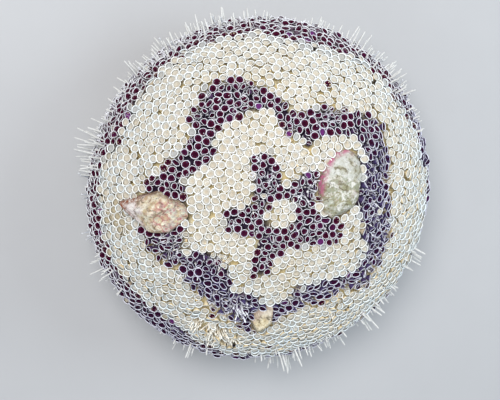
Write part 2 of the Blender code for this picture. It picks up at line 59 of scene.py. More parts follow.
# The test under the coat, in metres, as in the solids
TEST_RADIUS = 0.0557
DOME_HEIGHT = 0.033
BASE_DEPTH = 0.021
AMBITUS_HEIGHT = 0.0275
DOME_FULLNESS = 0.90
BASE_FULLNESS = 0.78
MOUTH_RISE = 0.003
MOUTH_RISE_RADIUS = 0.014
OVAL_SHARE = 0.0101
OVAL_LIMIT = 1.2
CUP_HEIGHT = 0.0060
ORAL_CUP_HEIGHT = 0.0050
MOUTH_RADIUS = 0.0135

COLUMN_COUNT = 5
FIRST_AMBULACRUM = 41.0
SECTOR_ANGLE = 72.0
ORAL_FROM = math.radians(114)
GOLDEN_ANGLE = math.pi * (3 - math.sqrt(5))
# How deep roots stand in the test, and how far everything stays over the floor
ROOT_SINK = 0.0004
FLOOR_ROOM = 0.0003
# How wide one cup's or spine's own patch is on the unwrap
PATCH_SIZE = 0.003
WELD_DISTANCE = 1e-5
SEED = 6151

# The deep purple ring, as its outer and inner edge: longitude in degrees, and distance from the apex
# along the coat in millimetres
RING_OUTER = (
    (2, 40), (12, 40), (20, 43), (30, 45), (36, 48), (44, 45), (54, 40), (65, 38), (75, 33),
    (80, 32), (89, 38), (98, 43), (105, 46), (113, 48), (121, 48), (126, 45), (133, 44), (137, 39),
    (148, 39), (160, 41), (169, 46), (186, 47), (194, 47), (204, 43), (210, 39), (232, 40),
    (250, 43), (260, 46), (270, 41), (277, 37), (290, 37), (305, 38), (314, 42), (320, 46),
    (327, 44), (342, 43), (352, 41),
)
RING_INNER = (
    (6, 26), (18, 30), (28, 33), (38, 36), (46, 34), (56, 30), (64, 23), (74, 25), (86, 26),
    (94, 33), (106, 35), (115, 33), (127, 34), (135, 29), (147, 28), (160, 33), (167, 32),
    (184, 30), (195, 33), (202, 35), (208, 28), (218, 25), (232, 26), (242, 32), (251, 30),
    (267, 33), (275, 32), (286, 28), (302, 29), (317, 35), (330, 36), (340, 32), (352, 28),
)
# The five-armed star round the apex, and the pale cluster at its middle
STAR_EDGE = (
    (5, 11), (18, 13), (30, 15), (38, 18), (52, 18), (60, 12), (80, 8), (94, 14), (98, 20),
    (106, 21), (118, 21), (124, 15), (135, 13), (150, 10), (163, 9), (174, 15), (179, 19),
    (203, 18), (210, 13), (235, 11), (242, 17), (246, 23), (257, 24), (263, 16), (284, 13),
    (305, 14), (320, 19), (326, 22), (342, 23), (350, 19), (356, 12),
)
CENTRE_EDGE = ((0, 5.5), (60, 4.0), (120, 4.0), (180, 4.5), (240, 5.0), (300, 6.0))
# Where the purple margin starts, and how far under the body it ends
MARGIN_EDGE = (
    (3, 64), (15, 60), (24, 63), (36, 60), (55, 63), (66, 59), (86, 59), (94, 63), (102, 65),
    (112, 65), (128, 66), (147, 62), (156, 61), (166, 66), (184, 65), (203, 63), (214, 59),
    (224, 56), (234, 56), (241, 60), (252, 62), (266, 62), (284, 62), (296, 63), (309, 64),
    (330, 68), (345, 68),
)
MARGIN_END = 0.092
MARGIN_SOFT = 0.006
MARGIN_MOST = 0.92
EDGE_SOFT = 0.0012
SKIN_EDGE_SOFT = 0.002
# Untidy patches, where cups are small, squeezed or shut and their stalks show: longitude in degrees,
# distance from the apex in millimetres, and reach in millimetres
UNTIDY = (
    (104, 43, 3.2), (128, 42, 3.2), (106, 34, 2.6), (61, 36, 3.6), (70, 24, 2.1), (24, 36, 3.6),
    (7, 31, 3.8), (352, 34, 4.2), (338, 38, 3.4), (35, 12, 3.6), (65, 13, 2.2), (198, 35, 4.6),
    (208, 31, 3.4), (219, 26, 4.2), (246, 36, 4.6), (245, 51, 6.2), (252, 55, 4.6), (238, 50, 4.0),
    (309, 38, 3.6), (111, 11, 3.4), (160, 10, 2.6), (282, 29, 3.2), (326, 42, 3.0), (238, 40, 3.6),
    (15, 40, 2.6), (300, 42, 2.8), (249, 37, 3.8),
)
# Bare patches, where most cups are missing and a tuft of stalks stands instead
BARE = ((245, 51.5, 3.6), (238, 50, 2.4), (253, 53.5, 2.2), (249, 37, 2.0), (108, 15, 1.6), (36, 11, 1.6))
# How a patch fades: its full value over its middle, and how fast it falls with the share of its reach
PATCH_FULL = 1.6
PATCH_FALL = 1.1

# How far the purple cups are squeezed to rows of narrow ovals, with lavender skin between them, at
# each longitude
SQUEEZED = (
    (0, 1), (25, 0.9), (45, 0.25), (190, 0.1), (205, 0.5), (226, 0.9), (250, 0.9), (300, 0.8), (320, 0.7),
    (345, 1),
)
# How far a squeezed cup tips away from the apex, and how far its long axis slants from the way round
SQUEEZED_TILT = 0.30
SQUEEZED_SLANT = 0.45
# How far from the apex the purple star reaches, whose cups stay round
STAR_REACH = 0.027
STAR_SOFT = 0.002
# How far from the apex the purple ring reaches, past which the cups don't tip
RING_REACH = 0.056

# The fringe of small pale pincers under the purple margin, and how full it is at each longitude
FRINGE_FROM = 0.0725
FRINGE_TO = 0.110
FRINGE_SOFT = 0.005
FRINGE = ((0, 0.9), (20, 1), (160, 1), (178, 0.4), (190, 0.1), (238, 0.1), (252, 0.6), (270, 0.9))

# The left stone's painted shadow: a patch of dull, glassy cups beside it
STONE_SHADOW_LONGITUDE = math.radians(184)
STONE_SHADOW_FROM_APEX = 0.0565
STONE_SHADOW_REACH = 0.0050
STONE_SHADOW_MOST = 0.85

# How places are spread: the jitter and the room that each wants as shares of the pitch, the neighbours
# that it keeps off, and the share of the missing room that one round makes
SPREAD_JITTER = 0.30
SPREAD_NEIGHBOURS = 6
SPREAD_ROOM = 1.04
SPREAD_STEP = 0.36
# The area that each place fills as a share of its pitch squared
CELL_SHARE = 0.866
# No place lies nearer to the apex or to the middle of the mouth than these meridian angles
PHI_FROM = 0.004
PHI_TO = math.pi - 0.02

# The forms of a cup, in shares of its rim radius: (radius, height)
RIM_RING = ((0.875, -0.03), (0.945, 0.10), (1.03, 0.06))
BOWL_PROFILE = ((0.0, -0.50), (0.48, -0.36), (0.91, -0.03), (0.0, -0.86))
STALK_PROFILE = ((0.0, -0.80), (0.95, -0.05), (0.70, -0.60), (0.15, -1.35), (0.14, -9), (0, -9))
# Points of a stalk below this height are its foot, which stands on the test
STALK_FOOT = -8
# The sides of a rim, a bowl and a stalk
UPPER_SIDES = (12, 12, 6)
LOWER_SIDES = (8, 8, 5)
# Cream cups have a wider rim: their forms narrow inside INNER_RIM by RIM_WIDENING
INNER_RIM = 0.93
RIM_WIDENING = 0.07
# How sharp a cup's corners are where neighbours press it, and how far it reaches past their sides
PRESS_POWER = 9
PRESS_REACH = 1.02

# The rim radius of an upper cup as a share of the mean way to its neighbours, how that is spread, how
# much smaller purple, untidy and fringe cups are, and the share of cups missing in bare patches
CUP_SHARE = 0.60
CUP_SPREAD = (0.79, 1.06)
PURPLE_SMALLER = 0.07
UNTIDY_SMALLER = 0.42
FRINGE_SMALLER = 0.42
BARE_MISSING = 0.85
# The rim radii of lower cups, and how far they lie under the upper ones
LOWER_RADII = (0.00070, 0.00110)
LOWER_LIFT = -0.0010
# How far a lower cup is moved in its gap, as a share of the way to the second neighbour
LOWER_SHIFT = 0.12
# How uneven the cups' heights are
HEIGHT_SPREAD = 0.00032
# Over which angle the cups become the lower ones of the underside, and the room round the mouth
ORAL_SOFT = 0.3
MOUTH_ROOM = 0.0015
# Where cups of the star are smaller still
STAR_BAND = (0, 0.026, 0.004)
# How far a purple zone's edge is scattered, the chance of a pale cup in it and how much more likely one
# is at its edge, and which shares of purple count as that edge for pale and for clear cups: from, to
# and softness
PURPLE_SCATTER = 0.18
PALE_CHANCE = 0.008
PALE_EDGE_CHANCE = 0.06
PALE_BAND = (0.25, 0.85, 0.1)
CLEAR_BAND = (0.04, 0.70, 0.1)
CLEAR_CHANCE = 0.45
FRINGE_CLEAR = 0.42
# How far towards its zone's second colour pale, other purple and dull cups are; the dull ones are
# darkened as the left stone's painted shadow
PALE_VARY = (0.8, 1.0)
PURPLE_VARY = 0.62
STONE_SHADOW_VARY = 0.9
# How oval open and shut cups are, how lobed, how loosely squeezed ones keep to their rows, and where
# the sides pressed by neighbours lie as a share of the way to them
OPEN_OVAL = (0.0, 0.09)
SHUT_OVAL = (0.15, 0.38)
LEAST_LOBE = 0.010
MOST_LOBE = 0.065
ROW_SCATTER = 0.3
SIDE_REACH = (0.49, 0.56)
# How far cups lean at random in each layer, and how far those over the margin turn up
UPPER_LEAN = 0.17
LOWER_LEAN = 0.30
MARGIN_RISE = 0.40
MARGIN_RISE_BAND = (0.060, 0.105, 0.030)

# Forms of slender parts as (radius, height), in shares of their own radius and length
SPINE_PROFILE = ((0.0, 1.0), (0.40, 0.985), (0.56, 0.95), (0.86, 0.5), (1.0, 0.0), (0.0, 0.0))
FOOT_PROFILE = (
    (0.0, 0.985), (1.7, 1.0), (1.95, 0.985), (1.7, 0.955), (0.85, 0.93), (0.80, 0.5), (1.0, 0.0), (0.0, 0.0),
)
BUD_PROFILE = ((0.0, 1.0), (1.0, 0.91), (0.52, 0.78), (0.45, 0.0), (0.0, 0.0))
STRAND_PROFILE = ((0.0, 1.0), (1.25, 0.94), (0.95, 0.78), (1.0, 0.0), (0.0, 0.0))
GILL_PROFILE = ((0.0, 1.0), (0.5, 0.93), (0.9, 0.6), (1.0, 0.2), (0.8, 0.0), (0.0, 0.0))
SPINE_SIDES = 6
FOOT_SIDES = 6
BUD_SIDES = 5
STRAND_SIDES = 4
GILL_SIDES = 8

# How far the margin's spines stand out at each longitude, as a share of their full reach
SPINE_TUFTS = (
    (0, 0.1), (15, 0.15), (23, 0.6), (28, 0.5), (34, 0.8), (41, 0.85), (50, 0.8), (59, 0.9), (66, 0.5),
    (71, 0.85), (77, 0.3), (86, 0.4), (92, 0.8), (97, 0.4), (103, 0.8), (112, 0.85), (117, 0.5), (123, 0.85),
    (131, 0.5), (137, 0.9), (146, 0.4), (155, 0.6), (162, 1.0), (170, 0.8), (180, 0.1), (196, 0.2),
    (203, 0.9), (211, 0.5), (222, 0.1), (236, 0.5), (243, 0.9), (252, 0.3), (264, 0.4), (278, 1.0),
    (288, 0.6), (296, 0.8), (302, 0.4), (308, 0.9), (319, 0.8), (328, 0.2), (338, 0.9), (346, 0.2),
)
TUFT_PITCH = 0.0032
# Where the standing spines start: lowest on the side that the camera leans towards
STANDING_FROM = 0.0625
STANDING_SHIFT = 0.0065
STANDING_TO = 0.102
# How softly that band ends for the spines of tufts and for the lengths of all spines
TUFT_SOFT = 0.004
STANDING_SOFT = 0.010
SPINE_RADII = (0.00042, 0.00056)
# How far spine tips lie under the cups' rims, how much further where they don't stand out, how uneven
# they are, and how long spines are under the body
SPINE_STEP = 0.0002
SPINE_LOW = 0.0018
SPINE_UNEVEN = 0.0003
ORAL_SPINE_LENGTHS = (0.0055, 0.0085)
# How many of a full tuft's spines stand, and which share of the reach they take
TUFT_CHANCE = 0.62
TUFT_REACH = (0.25, 1.0)
# No spine stands this near the apex
APEX_ROOM = 0.004
# Tube feet: their radii, the ends of their rows from the apex along the coat, where the rows lie as
# shares of an ambulacrum's half angle, and the jitter along and across a row
FOOT_RADII = (0.00022, 0.00030)
FOOT_ROW_ENDS = (0.012, 0.135)
FOOT_ROW_SIDES = (-0.85, -0.55, 0.55, 0.85)
AMBULACRUM_HALF = math.radians(11)
FOOT_JITTER = (0.0006, 0.02)
# Tube feet are longer in a band round the body: from, to and softness, and by how much
FOOT_LENGTH = 0.0042
LONG_FOOT_BAND = (0.072, 0.200, 0.014)
LONG_FOOT_MORE = (0.0018, 0.0068)
# Strands whose tips lie in gaps: the jitter of the gaps, how many each gap has, and their leans in
# degrees, the heights of their tips and their radii
GAP_JITTER = 0.00035
GAP_STRANDS = 4
STRAND_LEANS = (8, 27)
STRAND_TOPS = (0.0050, 0.0057)
STRAND_RADII = (0.00010, 0.00016)
# The same for the loose ones, and how much higher those of the fringe and of bare patches, and those
# of untidy patches stand
LOOSE_LEANS = (18, 58)
LOOSE_TOPS = (0.0048, 0.0058)
LOOSE_HIGHER = (0.0004, 0.0018)
UNTIDY_HIGHER = 0.0012
LOOSE_RADII = (0.00008, 0.00012)
# Buds are thinner and shorter in the purple zones
BUD_RADII = (0.00034, 0.00060)
BUD_THINNER = 0.45
BUD_LENGTHS = (0.0050, 0.0059)
BUD_SHORTER = 0.0012

# The pairs among a cup's nearest neighbours that may have a gap between them and it, and the least
# room of such a gap
GAP_PAIRS = ((0, 1), (0, 2), (1, 2), (2, 3), (3, 4))
GAP_ROOM = 0.0001

# The skin between the stalks: how far it lies over the test, and how fine it is
SKIN_DEPTH = 0.0026
SKIN_ROWS = 130
SKIN_SEGMENTS = 260
SKIN_PHI_STEPS = 4000

# The mouth
TOOTH_LENGTH = 0.0044
TOOTH_WIDTH = 0.0012
TOOTH_LEAN = math.radians(34)
# How far tooth tips keep from the middle of the mouth and from the lowest point of the solid teeth
TOOTH_GAP = 0.0002
LIP_RADIUS = 0.0052
MEMBRANE_OVERLAP = 0.0008
MEMBRANE_RAISED = 0.0012
MEMBRANE_TOP = 0.0036
# The membrane's section: shares of its edge's radius, then of its lip's, each with a height
MEMBRANE_OUTER = (
    (1.0, 0.0030), (0.96, 0.0008), (0.88, 0.0004), (0.78, 0.0004), (0.68, 0.0004), (0.58, 0.0004),
    (0.50, 0.0004),
)
MEMBRANE_LIP = ((1.12, -0.0005), (0.92, -0.0009), (0.72, -0.0002), (0.62, 0.0016), (0.60, 0.0036))
# Its folds and the lip's puckers: how many go round, and how high they are
FOLDS = (40, 0.00012)
PUCKERS = (25, 0.00018)
MEMBRANE_SEGMENTS = 120
GILL_TUFT = 9
GILL_SIDE = math.radians(16)
GILL_PHI = math.radians(163.5)
GILL_JITTER = (0.035, 0.012)
GILL_RADII = (0.00028, 0.00042)
GILL_LENGTHS = (0.0022, 0.0040)

# Rubble, as in the solids: the place of its middle, its long axis in plan, its half sizes, the height
# of its middle over the test, and its flats
RUBBLE = {
    "rubble_left": {
        "longitude": 179.0,
        "from_apex": 0.0415,
        "long_axis": 172.0,
        "half_sizes": (0.0120, 0.0072, 0.0052),
        "height": 0.0062,
        "flats": (
            ((0.50, 0.86, 0.0), 0.0058),
            ((0.42, -0.90, 0.1), 0.0052),
            ((0.25, 0.45, 0.85), 0.0046),
            ((0.35, -0.55, 0.75), 0.0044),
            ((-0.60, 0.10, 0.80), 0.0058),
            ((-0.75, 0.66, 0.0), 0.0088),
            ((-0.30, -0.95, 0.0), 0.0064),
        ),
    },
    "rubble_right": {
        "longitude": 22.0,
        "from_apex": 0.0222,
        "long_axis": 76.0,
        "half_sizes": (0.0115, 0.0074, 0.0042),
        "height": 0.0046,
        "flats": (
            ((0.0, 0.0, 1.0), 0.0036),
            ((0.55, 0.30, 0.78), 0.0062),
            ((-0.70, -0.45, 0.55), 0.0080),
            ((0.10, -0.97, 0.20), 0.0066),
        ),
    },
    "rubble_chip": {
        "longitude": 263.0,
        "from_apex": 0.0393,
        "long_axis": 52.0,
        "half_sizes": (0.0066, 0.0035, 0.0038),
        "height": 0.0050,
        "flats": (
            ((0.60, -0.80, 0.0), 0.0029),
            ((0.10, 0.55, 0.83), 0.0026),
            ((-0.80, 0.50, 0.3), 0.0036),
        ),
    },
}
# A flat that leans less than this cuts the footprint of a bit of rubble
UPRIGHT_FLAT = 0.25
# How far the footprint passes such a flat, and how far over and under a stone it counts
FLAT_MARGIN = 0.0004
RUBBLE_REACH = 0.004
STONE_SUBDIVISIONS = 6
# How rough the stones are, and how deep their pits, as shares of the least half size
STONE_ROUGH = 0.055
STONE_PITS = 0.10
# How far the crust and the brown outline of painted shade reach in from a stone's edge
CRUST_WIDTH = 0.0011
OUTLINE_WIDTH = 0.0004
# Where a stone's crust lies: the way along and across the stone, and how far round it reaches
CRUST_SIDES = {
    "rubble_left": (1.3, -0.6, -0.7),
    "rubble_right": (0.62, 1.0, -0.42),
    "rubble_chip": (0.0, 1.0, -0.2),
}
# The looks of each stone: its base, its blotches, its pale end, its stain, the crust at its edge, and
# how strongly it is streaked with the stain
RUBBLE_LOOKS = {
    "rubble_left": (
        (1.00, 0.94, 0.74), (0.76, 0.62, 0.38), (1.00, 0.95, 0.93), (0.54, 0.18, 0.19), (0.32, 0.10, 0.04),
        0.22,
    ),
    "rubble_right": (
        (0.93, 0.91, 0.85), (0.42, 0.43, 0.31), (0.80, 0.80, 0.75), (0.38, 0.34, 0.17), (0.60, 0.18, 0.30),
        0.62,
    ),
    "rubble_chip": (
        (0.95, 0.86, 0.62), (0.70, 0.56, 0.32), (0.95, 0.90, 0.78), (0.72, 0.60, 0.42), (0.62, 0.48, 0.38),
        0.40,
    ),
}
# The grey-green end of a stone, the pink tinge of crust on it, and the brown line of painted shade where
# its edge meets the coat
TAIL = (0.62, 0.64, 0.54)
BLUSH = (0.86, 0.56, 0.58)
OUTLINE_SHADE = (0.34, 0.22, 0.16)
# How far cracks bend from straight, along each axis
CRACK_BEND = (0.003, 0.003, 0.003)
PIT_BROWN = (0.14, 0.11, 0.08)
CRACK_BROWN = (0.15, 0.12, 0.07)

# Blotched looks: base, blotches, how fine they are, and the noise at which they begin and are full
SPINE_LOOK = ((0.74, 0.74, 0.72), (0.50, 0.49, 0.49), 900.0, 0.50, 0.80)
MEMBRANE_LOOK = ((0.34, 0.20, 0.22), (0.62, 0.54, 0.50), 700.0, 0.48, 0.62)
TOOTH_LOOK = ((0.86, 0.84, 0.78), (0.70, 0.62, 0.48), 500.0, 0.55, 0.80)
GILL_LOOK = ((0.58, 0.40, 0.36), (0.74, 0.62, 0.56), 900.0, 0.45, 0.65)
FLOOR_LOOK = ((0.50, 0.50, 0.51), (0.54, 0.54, 0.55), 6.0, 0.3, 0.7)
SPINE_ROOT = (0.50, 0.42, 0.40)

# Colours of the coat that the panel doesn't give. Pairs go from the root up, or from cream to purple
RIM_CREAM_DARK = (0.93, 0.92, 0.87)
RIM_PURPLE_LIGHT = (0.84, 0.83, 0.95)
RIM_INDIGO = (0.78, 0.78, 0.95)
BOWL_CREAM_DARK = (0.57, 0.52, 0.43)
BOWL_WINE = (0.095, 0.006, 0.030)
BOWL_INDIGO = (0.016, 0.003, 0.022)
# Glass cups, and their dull brown, which is also the left stone's painted shadow
GLASS = (0.43, 0.43, 0.42)
GLASS_DULL_AND_SHADED = (0.44, 0.38, 0.27)
STALK_CREAM = ((0.88, 0.80, 0.62), (0.80, 0.68, 0.45))
STALK_CREAM_DARK = (0.74, 0.60, 0.37)
STALK_PURPLE = ((0.60, 0.57, 0.68), (0.070, 0.035, 0.090))
STALK_PURPLE_LIGHT = ((0.50, 0.46, 0.60), (0.13, 0.06, 0.16))
STALK_INDIGO = (0.060, 0.045, 0.125)
BUD_COLOURS = ((0.88, 0.81, 0.64), (0.80, 0.62, 0.34), (0.040, 0.016, 0.055), (0.10, 0.07, 0.14))
STRAND_COOL = ((0.46, 0.42, 0.54), (0.95, 0.96, 1.0))
STRAND_WARM = ((0.74, 0.58, 0.34), (0.97, 0.94, 0.86))
STRAND_BLOTCHES = ((0.70, 0.56, 0.36), (0.50, 0.44, 0.58))
SKIN_OCHRE_BLOTCH = (0.88, 0.82, 0.58)
SKIN_VIOLET_BLOTCH = (0.07, 0.045, 0.09)
SKIN_ORAL = (0.50, 0.40, 0.36)
FOOT_BLUE = (0.46, 0.50, 0.56)
FOOT_SUCKER = (0.72, 0.74, 0.76)
FOOT_BLOTCH = (0.34, 0.30, 0.36)

# Painted light falloff: cream cups are painted warmest round this place, in plan, as if best lit, and
# painted cooler, as shade, from the first to the second of these distances away from it
BEST_LIT_PLACE = (0.0, 0.014, 0.0)
IN_PLAN = (1.0, 1.0, 0.0)
SHADE_FALLOFF_FROM = 0.020
SHADE_FALLOFF_TO = 0.056
RIM_IN_PAINTED_SHADE = (0.89, 0.965, 1.0)
CREAM_IN_PAINTED_SHADE = (0.575, 0.580, 0.550)
MIDDLE_IN_PAINTED_SHADE = (0.510, 0.462, 0.390)

# The camera, over the photo's upper left
CAMERA_LENS = 60.0
CAMERA_TILT = math.radians(14.73)
CAMERA_SIDE = math.radians(128.57)
CAMERA_DISTANCE = 0.30253
CAMERA_AIM = (-0.00409, -0.00292, 0.030)
SENSOR_WIDTH = 36.0
CLIP_START = 0.01
FLOOR_HALF = 1.5
LIGHT_AIM = (0, 0, 0.03)
# Each light's name, place, width, power and colour
LIGHTS = (
    ("key_light", (-0.16, 0.24, 0.62), 0.34, 4.0, (1.0, 0.99, 0.98)),
    ("fill_light", (0.42, 0.14, 0.42), 0.35, 1.4, (0.82, 0.93, 1.0)),
    ("low_light", (-0.10, -0.50, 0.30), 0.35, 0.5, (0.76, 0.90, 1.0)),
)
AIR_COLOUR = (0.78, 0.85, 0.94, 1.0)
AIR_STRENGTH = 0.30

# Kinds of sockets
COLOUR = "NodeSocketColor"
VALUE = "NodeSocketFloat"


# The shape of the body

def test_meridian(phi):
    """Radius and height of the test at meridian angles from 0 at the apex to pi at the mouth."""
    sine = np.abs(np.sin(phi))
    cosine = np.abs(np.cos(phi))
    low_radius = TEST_RADIUS * sine**BASE_FULLNESS
    rise = MOUTH_RISE * np.exp(-((low_radius / MOUTH_RISE_RADIUS) ** 2))
    dome = phi <= math.pi / 2
    radius = np.where(dome, TEST_RADIUS * sine**DOME_FULLNESS, low_radius)
    high = AMBITUS_HEIGHT + DOME_HEIGHT * cosine**DOME_FULLNESS
    low = AMBITUS_HEIGHT - BASE_DEPTH * cosine**BASE_FULLNESS + rise
    return radius, np.where(dome, high, low)


def meridian(phi, depth):
    """The same meridian moved out along its normal by depth."""
    step = 0.002
    phi = np.asarray(phi, float)
    r0, z0 = test_meridian(np.maximum(phi - step, 1e-4))
    r1, z1 = test_meridian(np.minimum(phi + step, math.pi - 1e-4))
    run = np.hypot(r1 - r0, z1 - z0)
    radius, height = test_meridian(phi)
    return radius + depth * (z0 - z1) / run, height + depth * (r1 - r0) / run


def clamped(value):
    """A value kept between 0 and 1."""
    return min(1.0, max(0.0, value))


def outlined(radius, theta):
    """The radius of the slightly oval outline."""
    return radius * (1 + OVAL_SHARE * np.sin(2 * theta) * np.minimum(radius / TEST_RADIUS, OVAL_LIMIT))


def surface(phi, theta, depth):
    """Points at that depth over the test, at meridian angles phi and longitudes theta."""
    radius, height = meridian(phi, depth)
    radius = outlined(radius, theta)
    return np.stack([radius * np.cos(theta), radius * np.sin(theta), height], axis=-1)


def unit(vectors):
    """Vectors brought to a length of one."""
    return vectors / np.linalg.norm(vectors, axis=-1, keepdims=True)


def surface_axes(phi, theta):
    """Unit vectors at each place: down the meridian, round the body, and outwards."""
    step = 0.003
    low = np.minimum(phi + step, math.pi - step)
    high = np.maximum(phi - step, step)
    down = unit(surface(low, theta, 0.0) - surface(high, theta, 0.0))
    around = unit(surface(phi, theta + step, 0.0) - surface(phi, theta - step, 0.0))
    return down, around, unit(np.cross(down, around))


PHI_STEPS = np.linspace(0.001, math.pi - 0.001, 3000)
COAT_RADII, COAT_HEIGHTS = meridian(PHI_STEPS, CUP_HEIGHT)
COAT_RUNS = np.hypot(np.diff(COAT_RADII), np.diff(COAT_HEIGHTS))
COAT_ARCS = np.concatenate([[0.0], np.cumsum(COAT_RUNS)]) + COAT_RADII[0]


def arc_of(phi):
    """Distance from the apex along the coat."""
    return np.interp(phi, PHI_STEPS, COAT_ARCS)


def phi_of(arc):
    """The meridian angle at a distance from the apex along the coat."""
    return np.interp(arc, COAT_ARCS, PHI_STEPS)


def value_at(table, theta):
    """A table's value at each longitude, between its entries on either side."""
    angles = np.array([entry[0] for entry in table], float)
    values = np.array([entry[1] for entry in table], float)
    return np.interp(np.degrees(theta) % 360, angles, values, period=360)


def edge_at(edge, theta):
    """An outline's distance from the apex at each longitude, in metres."""
    return value_at(edge, theta) / 1000


def within(arc, inner, outer, soft):
    """1 between the two distances and 0 outside them, with a soft edge."""
    rise = np.clip((arc - inner) / soft + 0.5, 0, 1)
    return rise * np.clip((outer - arc) / soft + 0.5, 0, 1)


def purple_share(phi, theta, soft=EDGE_SOFT):
    """How purple the coat is at each place: the ring, the star at the apex and the margin."""
    arc = arc_of(phi)
    ring = within(arc, edge_at(RING_INNER, theta), edge_at(RING_OUTER, theta), soft)
    star = within(arc, edge_at(CENTRE_EDGE, theta), edge_at(STAR_EDGE, theta), soft)
    margin = within(arc, edge_at(MARGIN_EDGE, theta), MARGIN_END, MARGIN_SOFT)
    return np.maximum(np.maximum(ring, star), margin * MARGIN_MOST)


def patch_share(patches, phi, theta):
    """How far each place lies in any of the patches, from 0 to 1."""
    points = surface(phi, theta, CUP_HEIGHT)
    found = np.zeros(len(phi))
    for longitude, distance, reach in patches:
        middle = surface(phi_of(distance / 1000), math.radians(longitude), CUP_HEIGHT)
        away = np.linalg.norm(points - middle, axis=-1)
        found = np.maximum(found, np.clip(PATCH_FULL - PATCH_FALL * away / (reach / 1000), 0, 1))
    return found


def stone_shadow_share(phi, theta):
    """How far the cups are glassy and darkened at each place beside the left stone, as its painted shadow.
    """
    middle = surface(phi_of(STONE_SHADOW_FROM_APEX), STONE_SHADOW_LONGITUDE, CUP_HEIGHT)
    away = np.linalg.norm(surface(phi, theta, CUP_HEIGHT) - middle, axis=-1)
    return np.clip(1.5 - away / STONE_SHADOW_REACH, 0, STONE_SHADOW_MOST)


def squeezed_share(phi, theta):
    """How far the purple cups are squeezed to narrow ovals at each place."""
    past_star = np.clip((arc_of(phi) - STAR_REACH) / STAR_SOFT, 0, 1)
    return value_at(SQUEEZED, theta) * purple_share(phi, theta) * past_star


def fringe_share(phi, theta):
    """How far the coat is a fringe of small pale pincers, under the purple margin, at each place."""
    return within(arc_of(phi), FRINGE_FROM, FRINGE_TO, FRINGE_SOFT) * value_at(FRINGE, theta)


def unwrap(phi, theta):
    """The place on the flat unwrap of the skin, with the apex at the middle."""
    reach = 0.49 * phi / math.pi
    return np.stack([0.5 + reach * np.cos(theta), 0.5 + reach * np.sin(theta)], axis=-1)


# Spreading places over the coat

def pitch_at(phi, pitch, oral_share):
    """The distance between neighbours: pitch above, and oral_share times that under the body."""
    under = np.clip((phi - ORAL_FROM) / 0.35 + 0.5, 0, 1)
    return pitch * (1 + (oral_share - 1) * under)


def spread(pitch, rng, oral_share=1.22, rounds=7):
    """Even but not regular places over the whole coat, as (phi, theta)."""
    cell = CELL_SHARE * pitch_at(PHI_STEPS[1:], pitch, oral_share) ** 2
    filled = np.concatenate([[0.0], np.cumsum(math.tau * COAT_RADII[1:] * COAT_RUNS / cell)])
    count = int(filled[-1])
    phi = np.interp(np.arange(count) + 0.5, filled, PHI_STEPS)
    theta = np.arange(count) * GOLDEN_ANGLE
    jitter = SPREAD_JITTER * pitch
    phi = phi + rng.normal(0, jitter, count) / TEST_RADIUS
    phi = np.clip(np.abs(phi), PHI_FROM, PHI_TO)
    theta = theta + rng.normal(0, jitter, count) / np.maximum(meridian(phi, CUP_HEIGHT)[0], 0.002)
    for _ in range(rounds):
        phi, theta = relaxed(phi, theta, pitch_at(phi, pitch, oral_share))
    return phi, theta % math.tau


def tree_of(points):
    """A tree that finds the nearest of these points."""
    tree = kdtree.KDTree(len(points))
    for index, point in enumerate(points):
        tree.insert(point, index)
    tree.balance()
    return tree


def nearest(points, count):
    """For each point, the vectors to its nearest neighbours."""
    tree = tree_of(points)
    found = [[hit[1] for hit in tree.find_n(point, count + 1)[1:]] for point in points]
    return points[np.array(found)] - points[:, None, :]


def relaxed(phi, theta, wanted):
    """Places moved a little away from the neighbours that are nearer than wanted."""
    points = surface(phi, theta, CUP_HEIGHT)
    away = nearest(points, SPREAD_NEIGHBOURS)
    gaps = np.maximum(np.linalg.norm(away, axis=-1), 1e-6)
    short = np.clip(wanted[:, None] * SPREAD_ROOM - gaps, 0, None)
    step = SPREAD_STEP * (-away / gaps[..., None] * short[..., None]).sum(axis=1)
    down, around, _ = surface_axes(phi, theta)
    radius = np.maximum(np.hypot(points[:, 0], points[:, 1]), 0.002)
    arc = arc_of(phi) + (step * down).sum(axis=1)
    theta = theta + (step * around).sum(axis=1) / radius
    return np.clip(phi_of(arc), PHI_FROM, PHI_TO), theta


def nearest_phi(across, heights, steps, depth):
    """Which of the meridian angles lies nearest to each radius and height, at a depth over the test."""
    radius, height = meridian(steps, depth)
    tree = tree_of(np.stack([radius, height, np.zeros(len(steps))], axis=-1))
    found = [tree.find((r, z, 0))[1] for r, z in zip(across, heights)]
    return steps[np.array(found, int)]


def places_of(points):
    """The (phi, theta) of points near the coat."""
    theta = np.arctan2(points[:, 1], points[:, 0])
    radius = np.hypot(points[:, 0], points[:, 1]) / outlined(1.0, theta)
    return nearest_phi(radius, points[:, 2], PHI_STEPS, CUP_HEIGHT), theta


# Many copies of one small form

def form_of(bm):
    """A small form's points and its faces by number of corners."""
    bmesh.ops.recalc_face_normals(bm, faces=bm.faces)
    bm.verts.index_update()
    points = np.array([vert.co[:] for vert in bm.verts])
    faces = {}
    for face in bm.faces:
        faces.setdefault(len(face.verts), []).append([vert.index for vert in face.verts])
    bm.free()
    return points, {sides: np.array(rows) for sides, rows in faces.items()}


def turned(profile, segments):
    """A bmesh of a closed or pole-to-pole profile turned about Z."""
    bm = bmesh.new()
    verts = [bm.verts.new((radius, 0, height)) for radius, height in profile]
    edges = [bm.edges.new(pair) for pair in zip(verts, verts[1:])]
    if profile[0][0] > 0:
        edges.append(bm.edges.new((verts[-1], verts[0])))
    bmesh.ops.spin(
        bm,
        geom=[*verts, *edges],
        cent=(0, 0, 0),
        axis=(0, 0, 1),
        angle=math.tau,
        steps=segments,
        use_merge=True,
        use_duplicate=False,
    )
    bmesh.ops.remove_doubles(bm, verts=bm.verts, dist=WELD_DISTANCE)
    return bm


